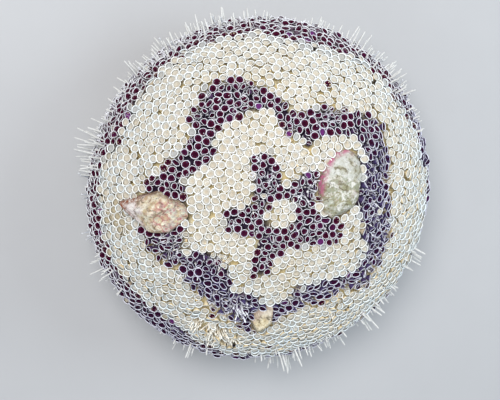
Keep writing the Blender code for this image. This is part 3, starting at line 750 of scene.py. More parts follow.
def copied_faces(form, copies):
    """The corners of all copies' faces, where each face starts, and the copy that each corner is of."""
    base, faces = form
    offsets = np.arange(copies) * len(base)
    corners = []
    starts = []
    owners = []
    begun = 0
    for sides, rows in sorted(faces.items()):
        corners.append((rows[None, :, :] + offsets[:, None, None]).reshape(-1))
        polygons = copies * len(rows)
        starts.append(begun + np.arange(polygons) * sides)
        owners.append(np.repeat(np.arange(copies), len(rows) * sides))
        begun += polygons * sides
    return np.concatenate(corners), np.concatenate(starts), np.concatenate(owners)


def add_unwrap(mesh, places):
    """Gives a mesh its flat unwrap, from the place of each corner."""
    layer = mesh.uv_layers.new(name="OFBake")
    layer.data.foreach_set("uv", places.reshape(-1).astype(np.float32))


def add_values(mesh, label, values):
    """Gives every point of a mesh a value under that label."""
    layer = mesh.attributes.new(label, "FLOAT", "POINT")
    layer.data.foreach_set("value", np.asarray(values, np.float32))


def joined_mesh(name, form, points, uv, attributes, material, smooth=True):
    """One object from many placed copies: points is copies x points x 3, and uv is copies x 2."""
    base = form[0]
    copies = len(points)
    corners, starts, owners = copied_faces(form, copies)
    mesh = bpy.data.meshes.new(name)
    mesh.vertices.add(copies * len(base))
    mesh.vertices.foreach_set("co", points.reshape(-1).astype(np.float32))
    mesh.loops.add(len(corners))
    mesh.loops.foreach_set("vertex_index", corners.astype(np.int32))
    mesh.polygons.add(len(starts))
    mesh.polygons.foreach_set("loop_start", starts.astype(np.int32))
    mesh.update(calc_edges=True)
    if smooth:
        mesh.shade_smooth()
    else:
        mesh.shade_flat()
    reach = base[:, :2] / max(np.abs(base[:, :2]).max(), 1e-9)
    add_unwrap(mesh, uv[owners] + reach[corners % len(base)] * PATCH_SIZE / 2)
    for label, values in attributes.items():
        add_values(mesh, label, np.broadcast_to(values, (copies, len(base))).reshape(-1))
    mesh.materials.append(material)
    return dressed(bpy.data.objects.new(name, mesh))


def mesh_of(bm, name):
    """A mesh from a finished bmesh, which it frees."""
    mesh = bpy.data.meshes.new(name)
    bm.to_mesh(mesh)
    bm.free()
    return mesh


def dressed(obj):
    """Links a finished piece and makes it ride on the body."""
    bpy.context.scene.collection.objects.link(obj)
    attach(obj, "root")
    return obj


def standing_frames(directions, turns):
    """For each direction, a rotation matrix that stands +Z up along it, turned about it."""
    up = unit(directions)
    helper = np.where(np.abs(up[:, 2:3]) < 0.9, [[0.0, 0.0, 1.0]], [[1.0, 0.0, 0.0]])
    side = unit(np.cross(helper, up))
    other = np.cross(up, side)
    cos, sin = np.cos(turns)[:, None], np.sin(turns)[:, None]
    first = side * cos + other * sin
    second = other * cos - side * sin
    return np.stack([first, second, up], axis=-1)


def placed(local, frames, origins):
    """Local points (copies x points x 3) turned by each frame and moved to each origin."""
    return np.einsum("nij,nvj->nvi", frames, local) + origins[:, None, :]


# Node helpers

def set_socket(tree, socket, value):
    """Links an input to another node's output, or gives it a number or an opaque colour."""
    if isinstance(value, bpy.types.NodeSocket):
        tree.links.new(value, socket)
    elif socket.type == "RGBA":
        socket.default_value = (*value, 1.0)
    else:
        socket.default_value = value


def set_inputs(tree, node, inputs):
    """Sets a node's inputs by name, with an underscore for each space."""
    for name, value in inputs.items():
        set_socket(tree, node.inputs[name.replace("_", " ")], value)


def new_node(tree, kind, **inputs):
    """A new node with these inputs."""
    made = tree.nodes.new(kind)
    set_inputs(tree, made, inputs)
    return made


def worked_out(tree, kind, operation, *values):
    """The outputs of a maths node for these values."""
    made = tree.nodes.new(kind)
    made.operation = operation
    for socket, value in zip(made.inputs, values):
        set_socket(tree, socket, value)
    return made.outputs


def product(tree, first, second):
    """One output times another."""
    return worked_out(tree, "ShaderNodeMath", "MULTIPLY", first, second)[0]


def mixed(tree, share, first, second):
    """The colour that lies between first and second by share."""
    made = tree.nodes.new("ShaderNodeMix")
    made.data_type = "RGBA"
    for index, value in ((0, share), (6, first), (7, second)):
        set_socket(tree, made.inputs[index], value)
    return made.outputs[2]


def ranged(tree, value, low, high, to_low=0.0, to_high=1.0):
    """A value from low to high, brought to the range from to_low to to_high and kept in it."""
    made = tree.nodes.new("ShaderNodeMapRange")
    for index, number in enumerate((value, low, high, to_low, to_high)):
        set_socket(tree, made.inputs[index], number)
    return made.outputs[0]


def attribute(tree, name):
    """A value that the mesh's points carry."""
    made = tree.nodes.new("ShaderNodeAttribute")
    made.attribute_name = name
    return made.outputs["Fac"]


def object_place(tree):
    """The place in the object's own space."""
    return tree.nodes.new("ShaderNodeTexCoord").outputs["Object"]


def noise_value(tree, scale, detail=3.0, roughness=0.55):
    """Noise in the object's own space."""
    made = new_node(
        tree,
        "ShaderNodeTexNoise",
        Vector=object_place(tree),
        Scale=scale,
        Detail=detail,
        Roughness=roughness,
    )
    return made.outputs["Fac"]


def node_group(name, inputs, outputs):
    """An empty shader node group with these sockets, and its input and output nodes."""
    tree = bpy.data.node_groups.new(name, "ShaderNodeTree")
    for label, kind in inputs:
        tree.interface.new_socket(label, in_out="INPUT", socket_type=kind)
    for label, kind in outputs:
        tree.interface.new_socket(label, in_out="OUTPUT", socket_type=kind)
    return tree, tree.nodes.new("NodeGroupInput"), tree.nodes.new("NodeGroupOutput")


def zone_tint_group():
    """Mixes cream and purple by the coat's marking, each towards its second colour by a cup's own share."""
    if "zone_tint" in bpy.data.node_groups:
        return bpy.data.node_groups["zone_tint"]
    tree, given, result = node_group(
        "zone_tint",
        (("Cream", COLOUR), ("Cream Dark", COLOUR), ("Purple", COLOUR), ("Purple Light", COLOUR)),
        (("Color", COLOUR),),
    )
    vary = attribute(tree, "vary")
    cream = mixed(tree, vary, given.outputs["Cream"], given.outputs["Cream Dark"])
    lifted = ranged(tree, vary, 0.55, 1.0)
    purple = mixed(tree, lifted, given.outputs["Purple"], given.outputs["Purple Light"])
    tree.links.new(mixed(tree, attribute(tree, "tone"), cream, purple), result.inputs["Color"])
    return tree


def mottle_group():
    """Blotches of one colour over another at a given scale, and their height."""
    if "mottle" in bpy.data.node_groups:
        return bpy.data.node_groups["mottle"]
    tree, given, result = node_group(
        "mottle",
        (("Base", COLOUR), ("Blotch", COLOUR), ("Scale", VALUE), ("Low", VALUE), ("High", VALUE)),
        (("Color", COLOUR), ("Height", VALUE)),
    )
    height = noise_value(tree, given.outputs["Scale"], 5.0, 0.62)
    blotches = ranged(tree, height, given.outputs["Low"], given.outputs["High"])
    colour = mixed(tree, blotches, given.outputs["Base"], given.outputs["Blotch"])
    tree.links.new(colour, result.inputs["Color"])
    tree.links.new(height, result.inputs["Height"])
    return tree


def placed_group(tree, group, inputs):
    """A shared group as a node with these inputs, in order."""
    made = tree.nodes.new("ShaderNodeGroup")
    made.node_tree = group
    for socket, value in zip(made.inputs, inputs):
        set_socket(tree, socket, value)
    return made


def mottled(tree, base, blotch, scale, low, high):
    """Blotches over a base colour, which appear where noise passes from low to high."""
    return placed_group(tree, mottle_group(), (base, blotch, scale, low, high))


def zoned(tree, cream, cream_dark, purple, purple_light):
    """The cream colours in the cream zones and the purple ones in the purple zones."""
    return placed_group(tree, zone_tint_group(), (cream, cream_dark, purple, purple_light)).outputs["Color"]


def new_material(name, roughness, specular=0.4):
    """A material and its node tree."""
    material = bpy.data.materials.new(name)
    material.use_nodes = True
    shader = material.node_tree.nodes["Principled BSDF"]
    shader.inputs["Roughness"].default_value = roughness
    shader.inputs["Specular IOR Level"].default_value = specular
    return material, material.node_tree


def painted(material, colour, height, relief):
    """The material with its colour, and with relief of that many metres from a height from 0 to 1."""
    tree = material.node_tree
    shader = tree.nodes["Principled BSDF"]
    bump = new_node(tree, "ShaderNodeBump", Strength=1.0, Distance=relief, Height=height)
    tree.links.new(colour, shader.inputs["Base Color"])
    tree.links.new(bump.outputs["Normal"], shader.inputs["Normal"])
    return material


def mottled_material(name, look, roughness, relief):
    """A blotched material whose blotches stand out by that many metres."""
    material, tree = new_material(name, roughness)
    shade = mottled(tree, *look)
    return painted(material, shade.outputs["Color"], shade.outputs["Height"], relief)


# Materials of the coat

def cool_share(tree, most=0.75):
    """How far a purple cup's colours turn to indigo, as where cups are squeezed."""
    cool = product(tree, attribute(tree, "cool"), attribute(tree, "tone"))
    return ranged(tree, cool, 0.2, 0.9, 0.0, most)


def painted_shade_share(tree):
    """How far a place on the coat lies from the best-lit one, for painted shade: 0 near it and 1 at the
    lower margin.
    """
    level = worked_out(tree, "ShaderNodeVectorMath", "MULTIPLY", object_place(tree), IN_PLAN)[0]
    away = worked_out(tree, "ShaderNodeVectorMath", "DISTANCE", level, BEST_LIT_PLACE)["Value"]
    return ranged(tree, away, SHADE_FALLOFF_FROM, SHADE_FALLOFF_TO)


def rim_material(colours):
    """Thin bright rims: warm white in the cream zones and cool lavender white in the purple ones."""
    material, tree = new_material("cup_rim", roughness=0.45)
    # Painted shade: cream rims turn cool away from the best-lit place
    warm = mixed(tree, painted_shade_share(tree), colours.rim_warm, RIM_IN_PAINTED_SHADE)
    tint = zoned(tree, warm, RIM_CREAM_DARK, colours.rim_cool, RIM_PURPLE_LIGHT)
    cooled = mixed(tree, cool_share(tree), tint, RIM_INDIGO)
    return painted(material, cooled, noise_value(tree, 2400.0), relief=0.00008)


def bowl_material(colours):
    """Bowls: cream with a tan middle, or deep wine purple, lighter towards the rim."""
    material, tree = new_material("cup_bowl", roughness=0.65, specular=0.06)
    reach = attribute(tree, "reach")
    depth = ranged(tree, reach, 0.2, 0.75)
    inner = mixed(tree, depth, colours.cream_middle, colours.cream)
    # Painted shade: cream bowls turn greyer and darker away from the best-lit place
    outer = mixed(tree, depth, MIDDLE_IN_PAINTED_SHADE, CREAM_IN_PAINTED_SHADE)
    cream = mixed(tree, painted_shade_share(tree), inner, outer)
    purple = mixed(tree, ranged(tree, reach, 0.3, 1.0), colours.purple, BOWL_WINE)
    tint = zoned(tree, cream, BOWL_CREAM_DARK, purple, colours.violet)
    cooled = mixed(tree, cool_share(tree), tint, BOWL_INDIGO)
    # Glassy cups, dull brown at random and in the left stone's painted shadow
    glass = mixed(tree, ranged(tree, attribute(tree, "vary"), 0.6, 0.9), GLASS, GLASS_DULL_AND_SHADED)
    glassy = mixed(tree, attribute(tree, "clear"), cooled, glass)
    return painted(material, glassy, noise_value(tree, 1500.0), relief=0.00010)


def stalk_material():
    """Stalks and the backs of bowls: ochre under cream cups and dusky violet under purple ones."""
    material, tree = new_material("cup_stalk", roughness=0.55, specular=0.08)
    back = ranged(tree, attribute(tree, "reach"), 0.20, 0.45)
    cream = mixed(tree, back, *STALK_CREAM)
    purple = mixed(tree, back, *STALK_PURPLE)
    tint = zoned(tree, cream, STALK_CREAM_DARK, purple, mixed(tree, back, *STALK_PURPLE_LIGHT))
    cooled = mixed(tree, cool_share(tree, 0.92), tint, STALK_INDIGO)
    return painted(material, cooled, noise_value(tree, 1800.0), relief=0.00008)


def skin_material(colours):
    """The skin between the stalks: ochre under cream cups and dark violet under purple ones."""
    material, tree = new_material("urchin_skin", roughness=0.6, specular=0.05)
    ochre = mottled(tree, colours.skin_ochre, SKIN_OCHRE_BLOTCH, 420.0, 0.42, 0.66)
    violet = mottled(tree, colours.skin_violet, SKIN_VIOLET_BLOTCH, 520.0, 0.45, 0.70)
    patches = product(tree, attribute(tree, "lilac"), ranged(tree, noise_value(tree, 380.0), 0.42, 0.60))
    lilac = mixed(tree, patches, violet.outputs["Color"], colours.skin_lilac)
    flesh = mixed(tree, attribute(tree, "oral"), ochre.outputs["Color"], SKIN_ORAL)
    colour = mixed(tree, attribute(tree, "tone"), flesh, lilac)
    return painted(material, colour, ochre.outputs["Height"], relief=0.0005)


def spine_material():
    """White blunt spines with fine blotches and a faintly warm root."""
    material, tree = new_material("spine", roughness=0.38)
    shade = mottled(tree, *SPINE_LOOK)
    root = ranged(tree, attribute(tree, "reach"), 0.0, 0.5)
    colour = mixed(tree, root, SPINE_ROOT, shade.outputs["Color"])
    return painted(material, colour, shade.outputs["Height"], relief=0.00012)


def tube_foot_material():
    """Thin pale bluish tube feet with a whiter sucker."""
    material, tree = new_material("tube_foot", roughness=0.32)
    sucker = ranged(tree, attribute(tree, "reach"), 0.82, 0.95)
    blotches = noise_value(tree, 1600.0)
    colour = mixed(tree, sucker, FOOT_BLUE, FOOT_SUCKER)
    blotched = mixed(tree, ranged(tree, blotches, 0.4, 0.7, 0.0, 0.35), colour, FOOT_BLOTCH)
    return painted(material, blotched, blotches, relief=0.00010)


def bud_material():
    """Blunt shut pincers between the cups: ochre, and dusky violet over the purple zones."""
    material, tree = new_material("bud", roughness=0.6, specular=0.06)
    return painted(material, zoned(tree, *BUD_COLOURS), noise_value(tree, 1600.0), relief=0.00010)


def strand_material():
    """Thin stalks of shut pincers: cream, or bluish white over the purple zones."""
    material, tree = new_material("strand", roughness=0.45, specular=0.2)
    reach = attribute(tree, "reach")
    tone = attribute(tree, "tone")
    cool = mixed(tree, ranged(tree, reach, 0.2, 0.7), *STRAND_COOL)
    warm = mixed(tree, ranged(tree, reach, 0.2, 0.8), *STRAND_WARM)
    blotch = mixed(tree, tone, *STRAND_BLOTCHES)
    shade = mottled(tree, mixed(tree, tone, warm, cool), blotch, 700.0, 0.52, 0.72)
    return painted(material, shade.outputs["Color"], shade.outputs["Height"], relief=0.00008)


# Where the cups stand

def upper_cups(coat):
    """The upper layer of open cups, the same each time."""
    return described_upper(coat, np.random.default_rng(SEED))


def cup_layers(coat):
    """The upper layer of open cups, and the smaller ones in its gaps, a little deeper in the coat."""
    rng = np.random.default_rng(SEED)
    upper = described_upper(coat, rng)
    return upper, lower_cups(upper, coat.small_cup_share, rng)


def described_upper(coat, rng):
    """The upper layer of cups, drawn from that generator. The purple ones are a little smaller."""
    phi, theta = spread(coat.cup_pitch, rng)
    count = len(phi)
    gaps = np.linalg.norm(nearest(surface(phi, theta, CUP_HEIGHT), 4), axis=-1)
    radius = gaps.mean(axis=1) * CUP_SHARE * rng.uniform(*CUP_SPREAD, count)
    twice_in_star = 1 + within(arc_of(phi), *STAR_BAND)
    radius = radius * (1 - PURPLE_SMALLER * purple_share(phi, theta) * twice_in_star)
    radius = radius * (1 - UNTIDY_SMALLER * patch_share(UNTIDY, phi, theta) * rng.uniform(0.3, 1.0, count))
    radius = radius * (1 - FRINGE_SMALLER * fringe_share(phi, theta) * rng.uniform(0.5, 1.0, count))
    kept = rng.random(count) > BARE_MISSING * patch_share(BARE, phi, theta)
    return described(phi[kept], theta[kept], radius[kept], 0.0, UPPER_LEAN, rng)


def lower_cups(upper, share, rng):
    """Smaller cups between the upper ones and their neighbours, for that share of them."""
    points = surface(upper["phi"], upper["theta"], CUP_HEIGHT)
    away = nearest(points, 4)
    picked = rng.random(len(points)) < share
    middle = (away[:, 0] + away[:, 1] + away[:, 2]) / 4
    base = points + middle + away[:, 1] * LOWER_SHIFT
    phi, theta = places_of(base[picked])
    radius = rng.uniform(*LOWER_RADII, picked.sum())
    return described(phi, theta, radius, LOWER_LIFT, LOWER_LEAN, rng)


def described(phi, theta, radius, lift, lean, rng):
    """Everything that one layer's cups are made from, without those under rubble or at the mouth."""
    kept = free_of_stones_and_mouth(phi, theta)
    phi, theta, radius = phi[kept], theta[kept], radius[kept]
    count = len(phi)
    oral = np.clip((phi - ORAL_FROM) / ORAL_SOFT, 0, 1)
    height = CUP_HEIGHT + (ORAL_CUP_HEIGHT - CUP_HEIGHT) * oral + lift + rng.normal(0, HEIGHT_SPREAD, count)
    share = purple_share(phi, theta)
    untidy = patch_share(UNTIDY, phi, theta)
    squeezed = squeezed_share(phi, theta)
    direction = cup_direction(phi, theta, share, untidy, squeezed, lean, rng)
    # Cups beside the left stone are made glassy and dark, as its painted shadow
    purple, pale, clear, in_stone_shadow = cup_marks(phi, theta, share, rng)
    shut = rng.random(count) < 0.06 * share + 0.30 * untidy + 0.55 * squeezed
    oval = rng.uniform(*OPEN_OVAL, count) + np.where(shut, rng.uniform(*SHUT_OVAL, count), 0.0)
    turn = rng.uniform(0, math.tau, count)
    frames = standing_frames(direction, turn)
    in_row = rng.random(count) < squeezed
    vary = rng.uniform(0, 1, count) ** 1.5
    purple_vary = np.where(pale, rng.uniform(*PALE_VARY, count), vary * PURPLE_VARY)
    cups = {
        "phi": phi,
        "theta": theta,
        "radius": radius,
        "height": height,
        "direction": direction,
        "turn": turn,
        "tone": purple.astype(float),
        "near": share,
        "vary": np.where(purple, purple_vary, np.where(in_stone_shadow, STONE_SHADOW_VARY, vary)),
        "clear": clear,
        "cool": squeezed,
        "lobe": rng.uniform(LEAST_LOBE, MOST_LOBE + 0.07 * share + 0.06 * untidy, count),
        "lobe_turn": rng.uniform(0, math.tau, count),
        "oval": oval,
    }
    along_row = row_angle(phi, theta, frames) + rng.normal(0, ROW_SCATTER, count)
    cups["oval_turn"] = np.where(in_row, along_row, rng.uniform(0, math.tau, count))
    cups["side_angle"], cups["side_reach"] = pressing_sides(phi, theta, frames, rng)
    return cups


def free_of_stones_and_mouth(phi, theta):
    """Which places bear cups."""
    points = surface(phi, theta, CUP_HEIGHT)
    at_mouth = (phi > ORAL_FROM) & (np.hypot(points[:, 0], points[:, 1]) < MOUTH_RADIUS + MOUTH_ROOM)
    return ~under_rubble(points, 1.0) & ~at_mouth


def cup_direction(phi, theta, share, untidy, squeezed, lean, rng):
    """Where cups point: outwards, loosely so in purple and untidy places, and tipped where squeezed."""
    down, _, outward = surface_axes(phi, theta)
    loose = 1 + 0.9 * share + 1.6 * untidy
    direction = outward + rng.normal(0, 1, (len(phi), 3)) * (lean * loose)[:, None] * 0.8
    rise = MARGIN_RISE * within(arc_of(phi), *MARGIN_RISE_BAND)
    direction = unit(direction + rise[:, None] * np.array([0.0, 0.0, 1.0]))
    tilt = SQUEEZED_TILT * squeezed * (arc_of(phi) < RING_REACH)
    return unit(direction + tilt[:, None] * down)


def cup_marks(phi, theta, share, rng):
    """Which cups are purple, pale purple, clear as glass (those of the painted stone shadow too) and in that
    shadow.
    """
    count = len(phi)
    purple = (share + rng.normal(0, PURPLE_SCATTER, count)) > 0.5
    at_edge = within(share, *PALE_BAND)
    pale = (rng.random(count) < PALE_CHANCE + PALE_EDGE_CHANCE * at_edge) & purple
    clear = np.where(purple, 0.0, within(share, *CLEAR_BAND) * (rng.random(count) < CLEAR_CHANCE))
    clear = np.maximum(clear, rng.random(count) < FRINGE_CLEAR * fringe_share(phi, theta))
    in_stone_shadow = rng.random(count) < stone_shadow_share(phi, theta)
    return purple, pale, np.maximum(clear, in_stone_shadow), in_stone_shadow


def row_angle(phi, theta, frames):
    """The angle in each cup's own frame of the slanting rows that squeezed cups lie in."""
    down, around, _ = surface_axes(phi, theta)
    row = np.einsum("ni,nic->nc", around + SQUEEZED_SLANT * down, frames)
    return np.arctan2(row[:, 1], row[:, 0])


def pressing_sides(phi, theta, frames, rng):
    """The angle and the distance of the flat sides that a cup's neighbours press into it."""
    away = nearest(surface(phi, theta, CUP_HEIGHT), 6)
    away = np.einsum("nki,nic->nkc", away, frames)
    angle = np.arctan2(away[..., 1], away[..., 0])
    return angle, np.hypot(away[..., 0], away[..., 1]) * rng.uniform(*SIDE_REACH, away.shape[:2])


def rubble_frame(spec):
    """Where a bit of rubble lies: its middle, and the rotation from its own axes."""
    phi = phi_of(spec["from_apex"])
    theta = math.radians(spec["longitude"])
    up = Vector(surface_axes(np.array([phi]), np.array([theta]))[2][0])
    axis = math.radians(spec["long_axis"])
    along = Vector((math.cos(axis), math.sin(axis), 0))
    along = (along - up * along.dot(up)).normalized()
    turn = Matrix((along, up.cross(along), up)).transposed().to_4x4()
    return Vector(surface(phi, theta, spec["height"])), turn


def under_rubble(points, share):
    """Which points lie within that share of a bit of rubble's footprint."""
    found = np.zeros(len(points), bool)
    for spec in RUBBLE.values():
        middle, turn = rubble_frame(spec)
        local = (points - np.array(middle)) @ np.array(turn.to_3x3())
        long, wide, high = spec["half_sizes"]
        inside = (local[:, 0] / long) ** 2 + (local[:, 1] / wide) ** 2 < share**2
        for (x, y, z), distance in spec["flats"]:
            if z <= UPRIGHT_FLAT:
                inside &= local[:, 0] * x + local[:, 1] * y < distance * share + FLAT_MARGIN
        found |= inside & (np.abs(local[:, 2]) < high + RUBBLE_REACH)
    return found


# The cups' own shapes

def pressed(across, angle, cups):
    """A cup's reach at each angle where its neighbours press it: a polygon with rounded corners."""
    off = angle[:, None, :] - cups["side_angle"][:, :, None]
    sides = cups["side_reach"][:, :, None] / np.maximum(np.cos(off), 0.05)
    total = across**-PRESS_POWER + (sides**-PRESS_POWER).sum(axis=1)
    return PRESS_REACH * total ** (-1 / PRESS_POWER)


def cup_points(form, cups):
    """The placed points of one part of every cup."""
    base = form[0]
    angle = np.arctan2(base[:, 1], base[:, 0])[None, :]
    lobes = cups["lobe"][:, None] * np.cos(3 * (angle - cups["lobe_turn"][:, None]))
    oval = cups["oval"][:, None] * np.cos(2 * (angle - cups["oval_turn"][:, None]))
    across = pressed(cups["radius"][:, None] * (1 + lobes + oval), angle, cups)
    inner = 1 - RIM_WIDENING * (1 - cups["tone"][:, None]) * (np.hypot(base[:, 0], base[:, 1]) < INNER_RIM)
    local = np.empty((len(across), len(base), 3))
    local[..., 0] = base[:, 0] * across * inner
    local[..., 1] = base[:, 1] * across * inner
    local[..., 2] = base[:, 2] * cups["radius"][:, None]
    tops = surface(cups["phi"], cups["theta"], cups["height"])
    points = placed(local, standing_frames(cups["direction"], cups["turn"]), tops)
    foot = base[:, 2] < STALK_FOOT
    if foot.any():
        outward = surface_axes(cups["phi"], cups["theta"])[2]
        roots = surface(cups["phi"], cups["theta"], 0.0)
        local[:, foot, 2] = -ROOT_SINK
        points[:, foot] = placed(local[:, foot], standing_frames(outward, cups["turn"]), roots)
    points[..., 2] = np.maximum(points[..., 2], FLOOR_ROOM)
    return points


def sector_of(theta):
    """Which fifth of the body a longitude belongs to, each centred on an ambulacrum."""
    turned_by = np.degrees(theta) - FIRST_AMBULACRUM + SECTOR_ANGLE / 2
    return (turned_by % 360 // SECTOR_ANGLE).astype(int)


def chosen(cups, mask):
    """Those cups or rods that the mask picks."""
    return {name: values[mask] for name, values in cups.items()}


def build_cups(context):
    """Both layers of cups, in rims, bowls and stalks over each fifth of the body."""
    colours = context.scene.urchin_colours
    upper, lower = cup_layers(context.scene.urchin_coat)
    materials = (rim_material(colours), bowl_material(colours), stalk_material())
    for sector in range(COLUMN_COUNT):
        for prefix, cups, sides in (("", upper, UPPER_SIDES), ("lower_", lower, LOWER_SIDES)):
            here = chosen(cups, sector_of(cups["theta"]) == sector)
            build_cup_parts(prefix, sector, here, sides, materials)


def build_cup_parts(prefix, sector, cups, sides, materials):
    """The rims, bowls and stalks of one layer of cups over one fifth of the body."""
    parts = ("rims", "bowls", "stalks")
    profiles = (RIM_RING, BOWL_PROFILE, STALK_PROFILE)
    uv = unwrap(cups["phi"], cups["theta"])
    for part, profile, segments, material in zip(parts, profiles, sides, materials):
        form = form_of(turned(profile, segments))
        attributes = {
            "tone": (cups["near"] if part == "stalks" else cups["tone"])[:, None],
            "vary": cups["vary"][:, None],
            "clear": cups["clear"][:, None],
            "cool": cups["cool"][:, None],
            "reach": np.hypot(form[0][:, 0], form[0][:, 1])[None, :],
        }
        name = f"{prefix}{part}_{sector + 1}"
        points = cup_points(form, cups)
        piece = joined_mesh(name, form, points, uv, attributes, material, part != "rims")


# Slender parts: spines, buds, strands and tube feet

def bent_points(form, rods):
    """Placed points of slender rods, each bent a little to one side."""
    base = form[0]
    local = np.empty((len(rods["length"]), len(base), 3))
    bend = rods["bend"][:, None] * base[:, 2] ** 2
    local[..., 0] = base[:, 0] * rods["radius"][:, None] + bend * rods["length"][:, None]
    local[..., 1] = base[:, 1] * rods["radius"][:, None]
    local[..., 2] = base[:, 2] * (rods["length"] + ROOT_SINK)[:, None] - ROOT_SINK
    roots = surface(rods["phi"], rods["theta"], 0.0)
    points = placed(local, standing_frames(rods["direction"], rods["turn"]), roots)
    points[..., 2] = np.maximum(points[..., 2], FLOOR_ROOM)
    return points


def leaning(phi, theta, rng, lean, fall):
    """Outward directions with a random lean, and a fall down the meridian."""
    down, _, outward = surface_axes(phi, theta)
    direction = outward + rng.normal(0, lean, (len(phi), 3)) + down * np.reshape(fall, (-1, 1))
    return unit(direction)


def leaning_rods(phi, theta, radius, length, rng, bend, lean, fall):
    """Slender parts at each place that bend, lean and fall a little."""
    return {
        "phi": phi,
        "theta": theta,
        "radius": radius,
        "length": length,
        "bend": rng.normal(0, bend, len(phi)),
        "direction": leaning(phi, theta, rng, lean, fall),
        "turn": rng.uniform(0, math.tau, len(phi)),
    }


def clear_floor(rods):
    """Shortens the rods that would pass the floor."""
    roots = surface(rods["phi"], rods["theta"], 0.0)
    fall = np.maximum(-rods["direction"][:, 2], 1e-6)
    rods["length"] = np.minimum(rods["length"], (roots[:, 2] - rods["radius"] - FLOOR_ROOM) / fall)
    return rods


def standing_share(phi, theta, soft):
    """How far the spines stand past the cups at each place."""
    start = STANDING_FROM + STANDING_SHIFT * np.cos(theta - CAMERA_SIDE)
    return within(arc_of(phi), start, STANDING_TO, soft)


def add_rods(name, form, rods, labels, material):
    """One piece of many rods. Its points carry the labels' values, and how far up they lie as reach."""
    points = bent_points(form, clear_floor(rods))
    up = form[0][None, :, 2]
    attributes = {label: up if label == "reach" else rods[label][:, None] for label in labels}
    return joined_mesh(name, form, points, unwrap(rods["phi"], rods["theta"]), attributes, material)


def add_rods_by_column(name, form, rods, labels, material):
    """The same in five pieces, one over each fifth of the body."""
    for sector in range(COLUMN_COUNT):
        here = chosen(rods, sector_of(rods["theta"]) == sector)
        piece = add_rods(f"{name}_{sector + 1}", form, here, labels, material)


def spine_places(coat, rng):
    """Where spines stand: all over, and close together in the tufts of the margin."""
    phi, theta = spread(coat.spine_pitch, rng, oral_share=0.85, rounds=2)
    tuft_phi, tuft_theta = spread(TUFT_PITCH, rng, oral_share=1.0, rounds=2)
    fullness = value_at(SPINE_TUFTS, tuft_theta) * standing_share(tuft_phi, tuft_theta, TUFT_SOFT)
    tufts = rng.random(len(tuft_phi)) < TUFT_CHANCE * fullness**3
    phi = np.concatenate([phi, tuft_phi[tufts]])
    theta = np.concatenate([theta, tuft_theta[tufts]])
    kept = ~under_rubble(surface(phi, theta, CUP_HEIGHT), 1.02)
    kept &= np.hypot(*surface(phi, theta, 0.0)[:, :2].T) > np.where(phi > ORAL_FROM, MOUTH_RADIUS, APEX_ROOM)
    return phi[kept], theta[kept]


def spine_lengths(phi, theta, full_reach, rng):
    """Level with the cups on top, standing past them at the margin, and short under the body."""
    count = len(phi)
    margin = standing_share(phi, theta, STANDING_SOFT)
    past = rng.uniform(*TUFT_REACH, count) * value_at(SPINE_TUFTS, theta) ** 1.5 * full_reach
    low = SPINE_LOW * (1 - margin)
    length = CUP_HEIGHT - SPINE_STEP - low + margin * past + rng.normal(0, SPINE_UNEVEN, count)
    return np.where(phi > ORAL_FROM, rng.uniform(*ORAL_SPINE_LENGTHS, count), length)


def build_spines(context):
    """Short blunt spines all over, level with the cups on top and standing past them at the margin."""
    coat = context.scene.urchin_coat
    rng = np.random.default_rng(SEED + 1)
    phi, theta = spine_places(coat, rng)
    length = spine_lengths(phi, theta, coat.spine_reach, rng)
    radius = rng.uniform(*SPINE_RADII, len(phi))
    rods = leaning_rods(phi, theta, radius, length, rng, bend=0.02, lean=0.13, fall=0.0)
    form = form_of(turned(SPINE_PROFILE, SPINE_SIDES))
    piece = add_rods("spines", form, rods, ("reach",), spine_material())


def gaps_between(cups, jitter, times, rng):
    """Places in the gaps between the cups, each gap up to a number of times."""
    points = surface(cups["phi"], cups["theta"], CUP_HEIGHT)
    away = nearest(points, 5)
    gaps = np.concatenate([points + (away[:, one] + away[:, two]) / 3 for one, two in GAP_PAIRS])
    gaps = np.tile(gaps, (times, 1))
    gaps = gaps + rng.normal(0, jitter, gaps.shape)
    tree = tree_of(points)
    owner = np.array([tree.find(gap)[1] for gap in gaps])
    room = np.linalg.norm(gaps - points[owner], axis=-1) - cups["radius"][owner]
    return places_of(gaps[room > GAP_ROOM])


def build_buds(context):
    """Blunt shut pincers that fill the gaps between the cups."""
    rng = np.random.default_rng(SEED + 5)
    phi, theta = gaps_between(upper_cups(context.scene.urchin_coat), 0.0, 1, rng)
    chance = 0.86 - 0.60 * purple_share(phi, theta) - 0.5 * patch_share(UNTIDY, phi, theta)
    kept = rng.random(len(phi)) < chance
    phi, theta = phi[kept], theta[kept]
    count = len(phi)
    share = purple_share(phi, theta)
    radius = rng.uniform(*BUD_RADII, count) * (1 - BUD_THINNER * share)
    length = rng.uniform(*BUD_LENGTHS, count) - BUD_SHORTER * share
    rods = leaning_rods(phi, theta, radius, length, rng, bend=0.03, lean=0.06, fall=0.0)
    rods["tone"] = share
    rods["vary"] = rng.uniform(0, 1, count)
    form = form_of(turned(BUD_PROFILE, BUD_SIDES))
    add_rods_by_column("buds", form, rods, ("tone", "vary"), bud_material())


def gap_strands(coat, rng):
    """Strands whose tips lie in the gaps between cups: their places, leans and sizes."""
    phi, theta = gaps_between(upper_cups(coat), GAP_JITTER, GAP_STRANDS, rng)
    purple = purple_share(phi, theta)
    kept = rng.random(len(phi)) < 0.32 + 0.68 * purple - 0.66 * squeezed_share(phi, theta)
    phi, theta = phi[kept], theta[kept]
    count = len(phi)
    lean = np.radians(rng.uniform(*STRAND_LEANS, count))
    way = rng.uniform(0, math.tau, count)
    side = strand_side(phi, theta, way)
    tips = surface(phi, theta, CUP_HEIGHT)
    phi, theta = places_of(tips - side * (np.tan(lean) * CUP_HEIGHT)[:, None])
    top = rng.uniform(*STRAND_TOPS, count)
    return phi, theta, lean, way, top, rng.uniform(*STRAND_RADII, count)


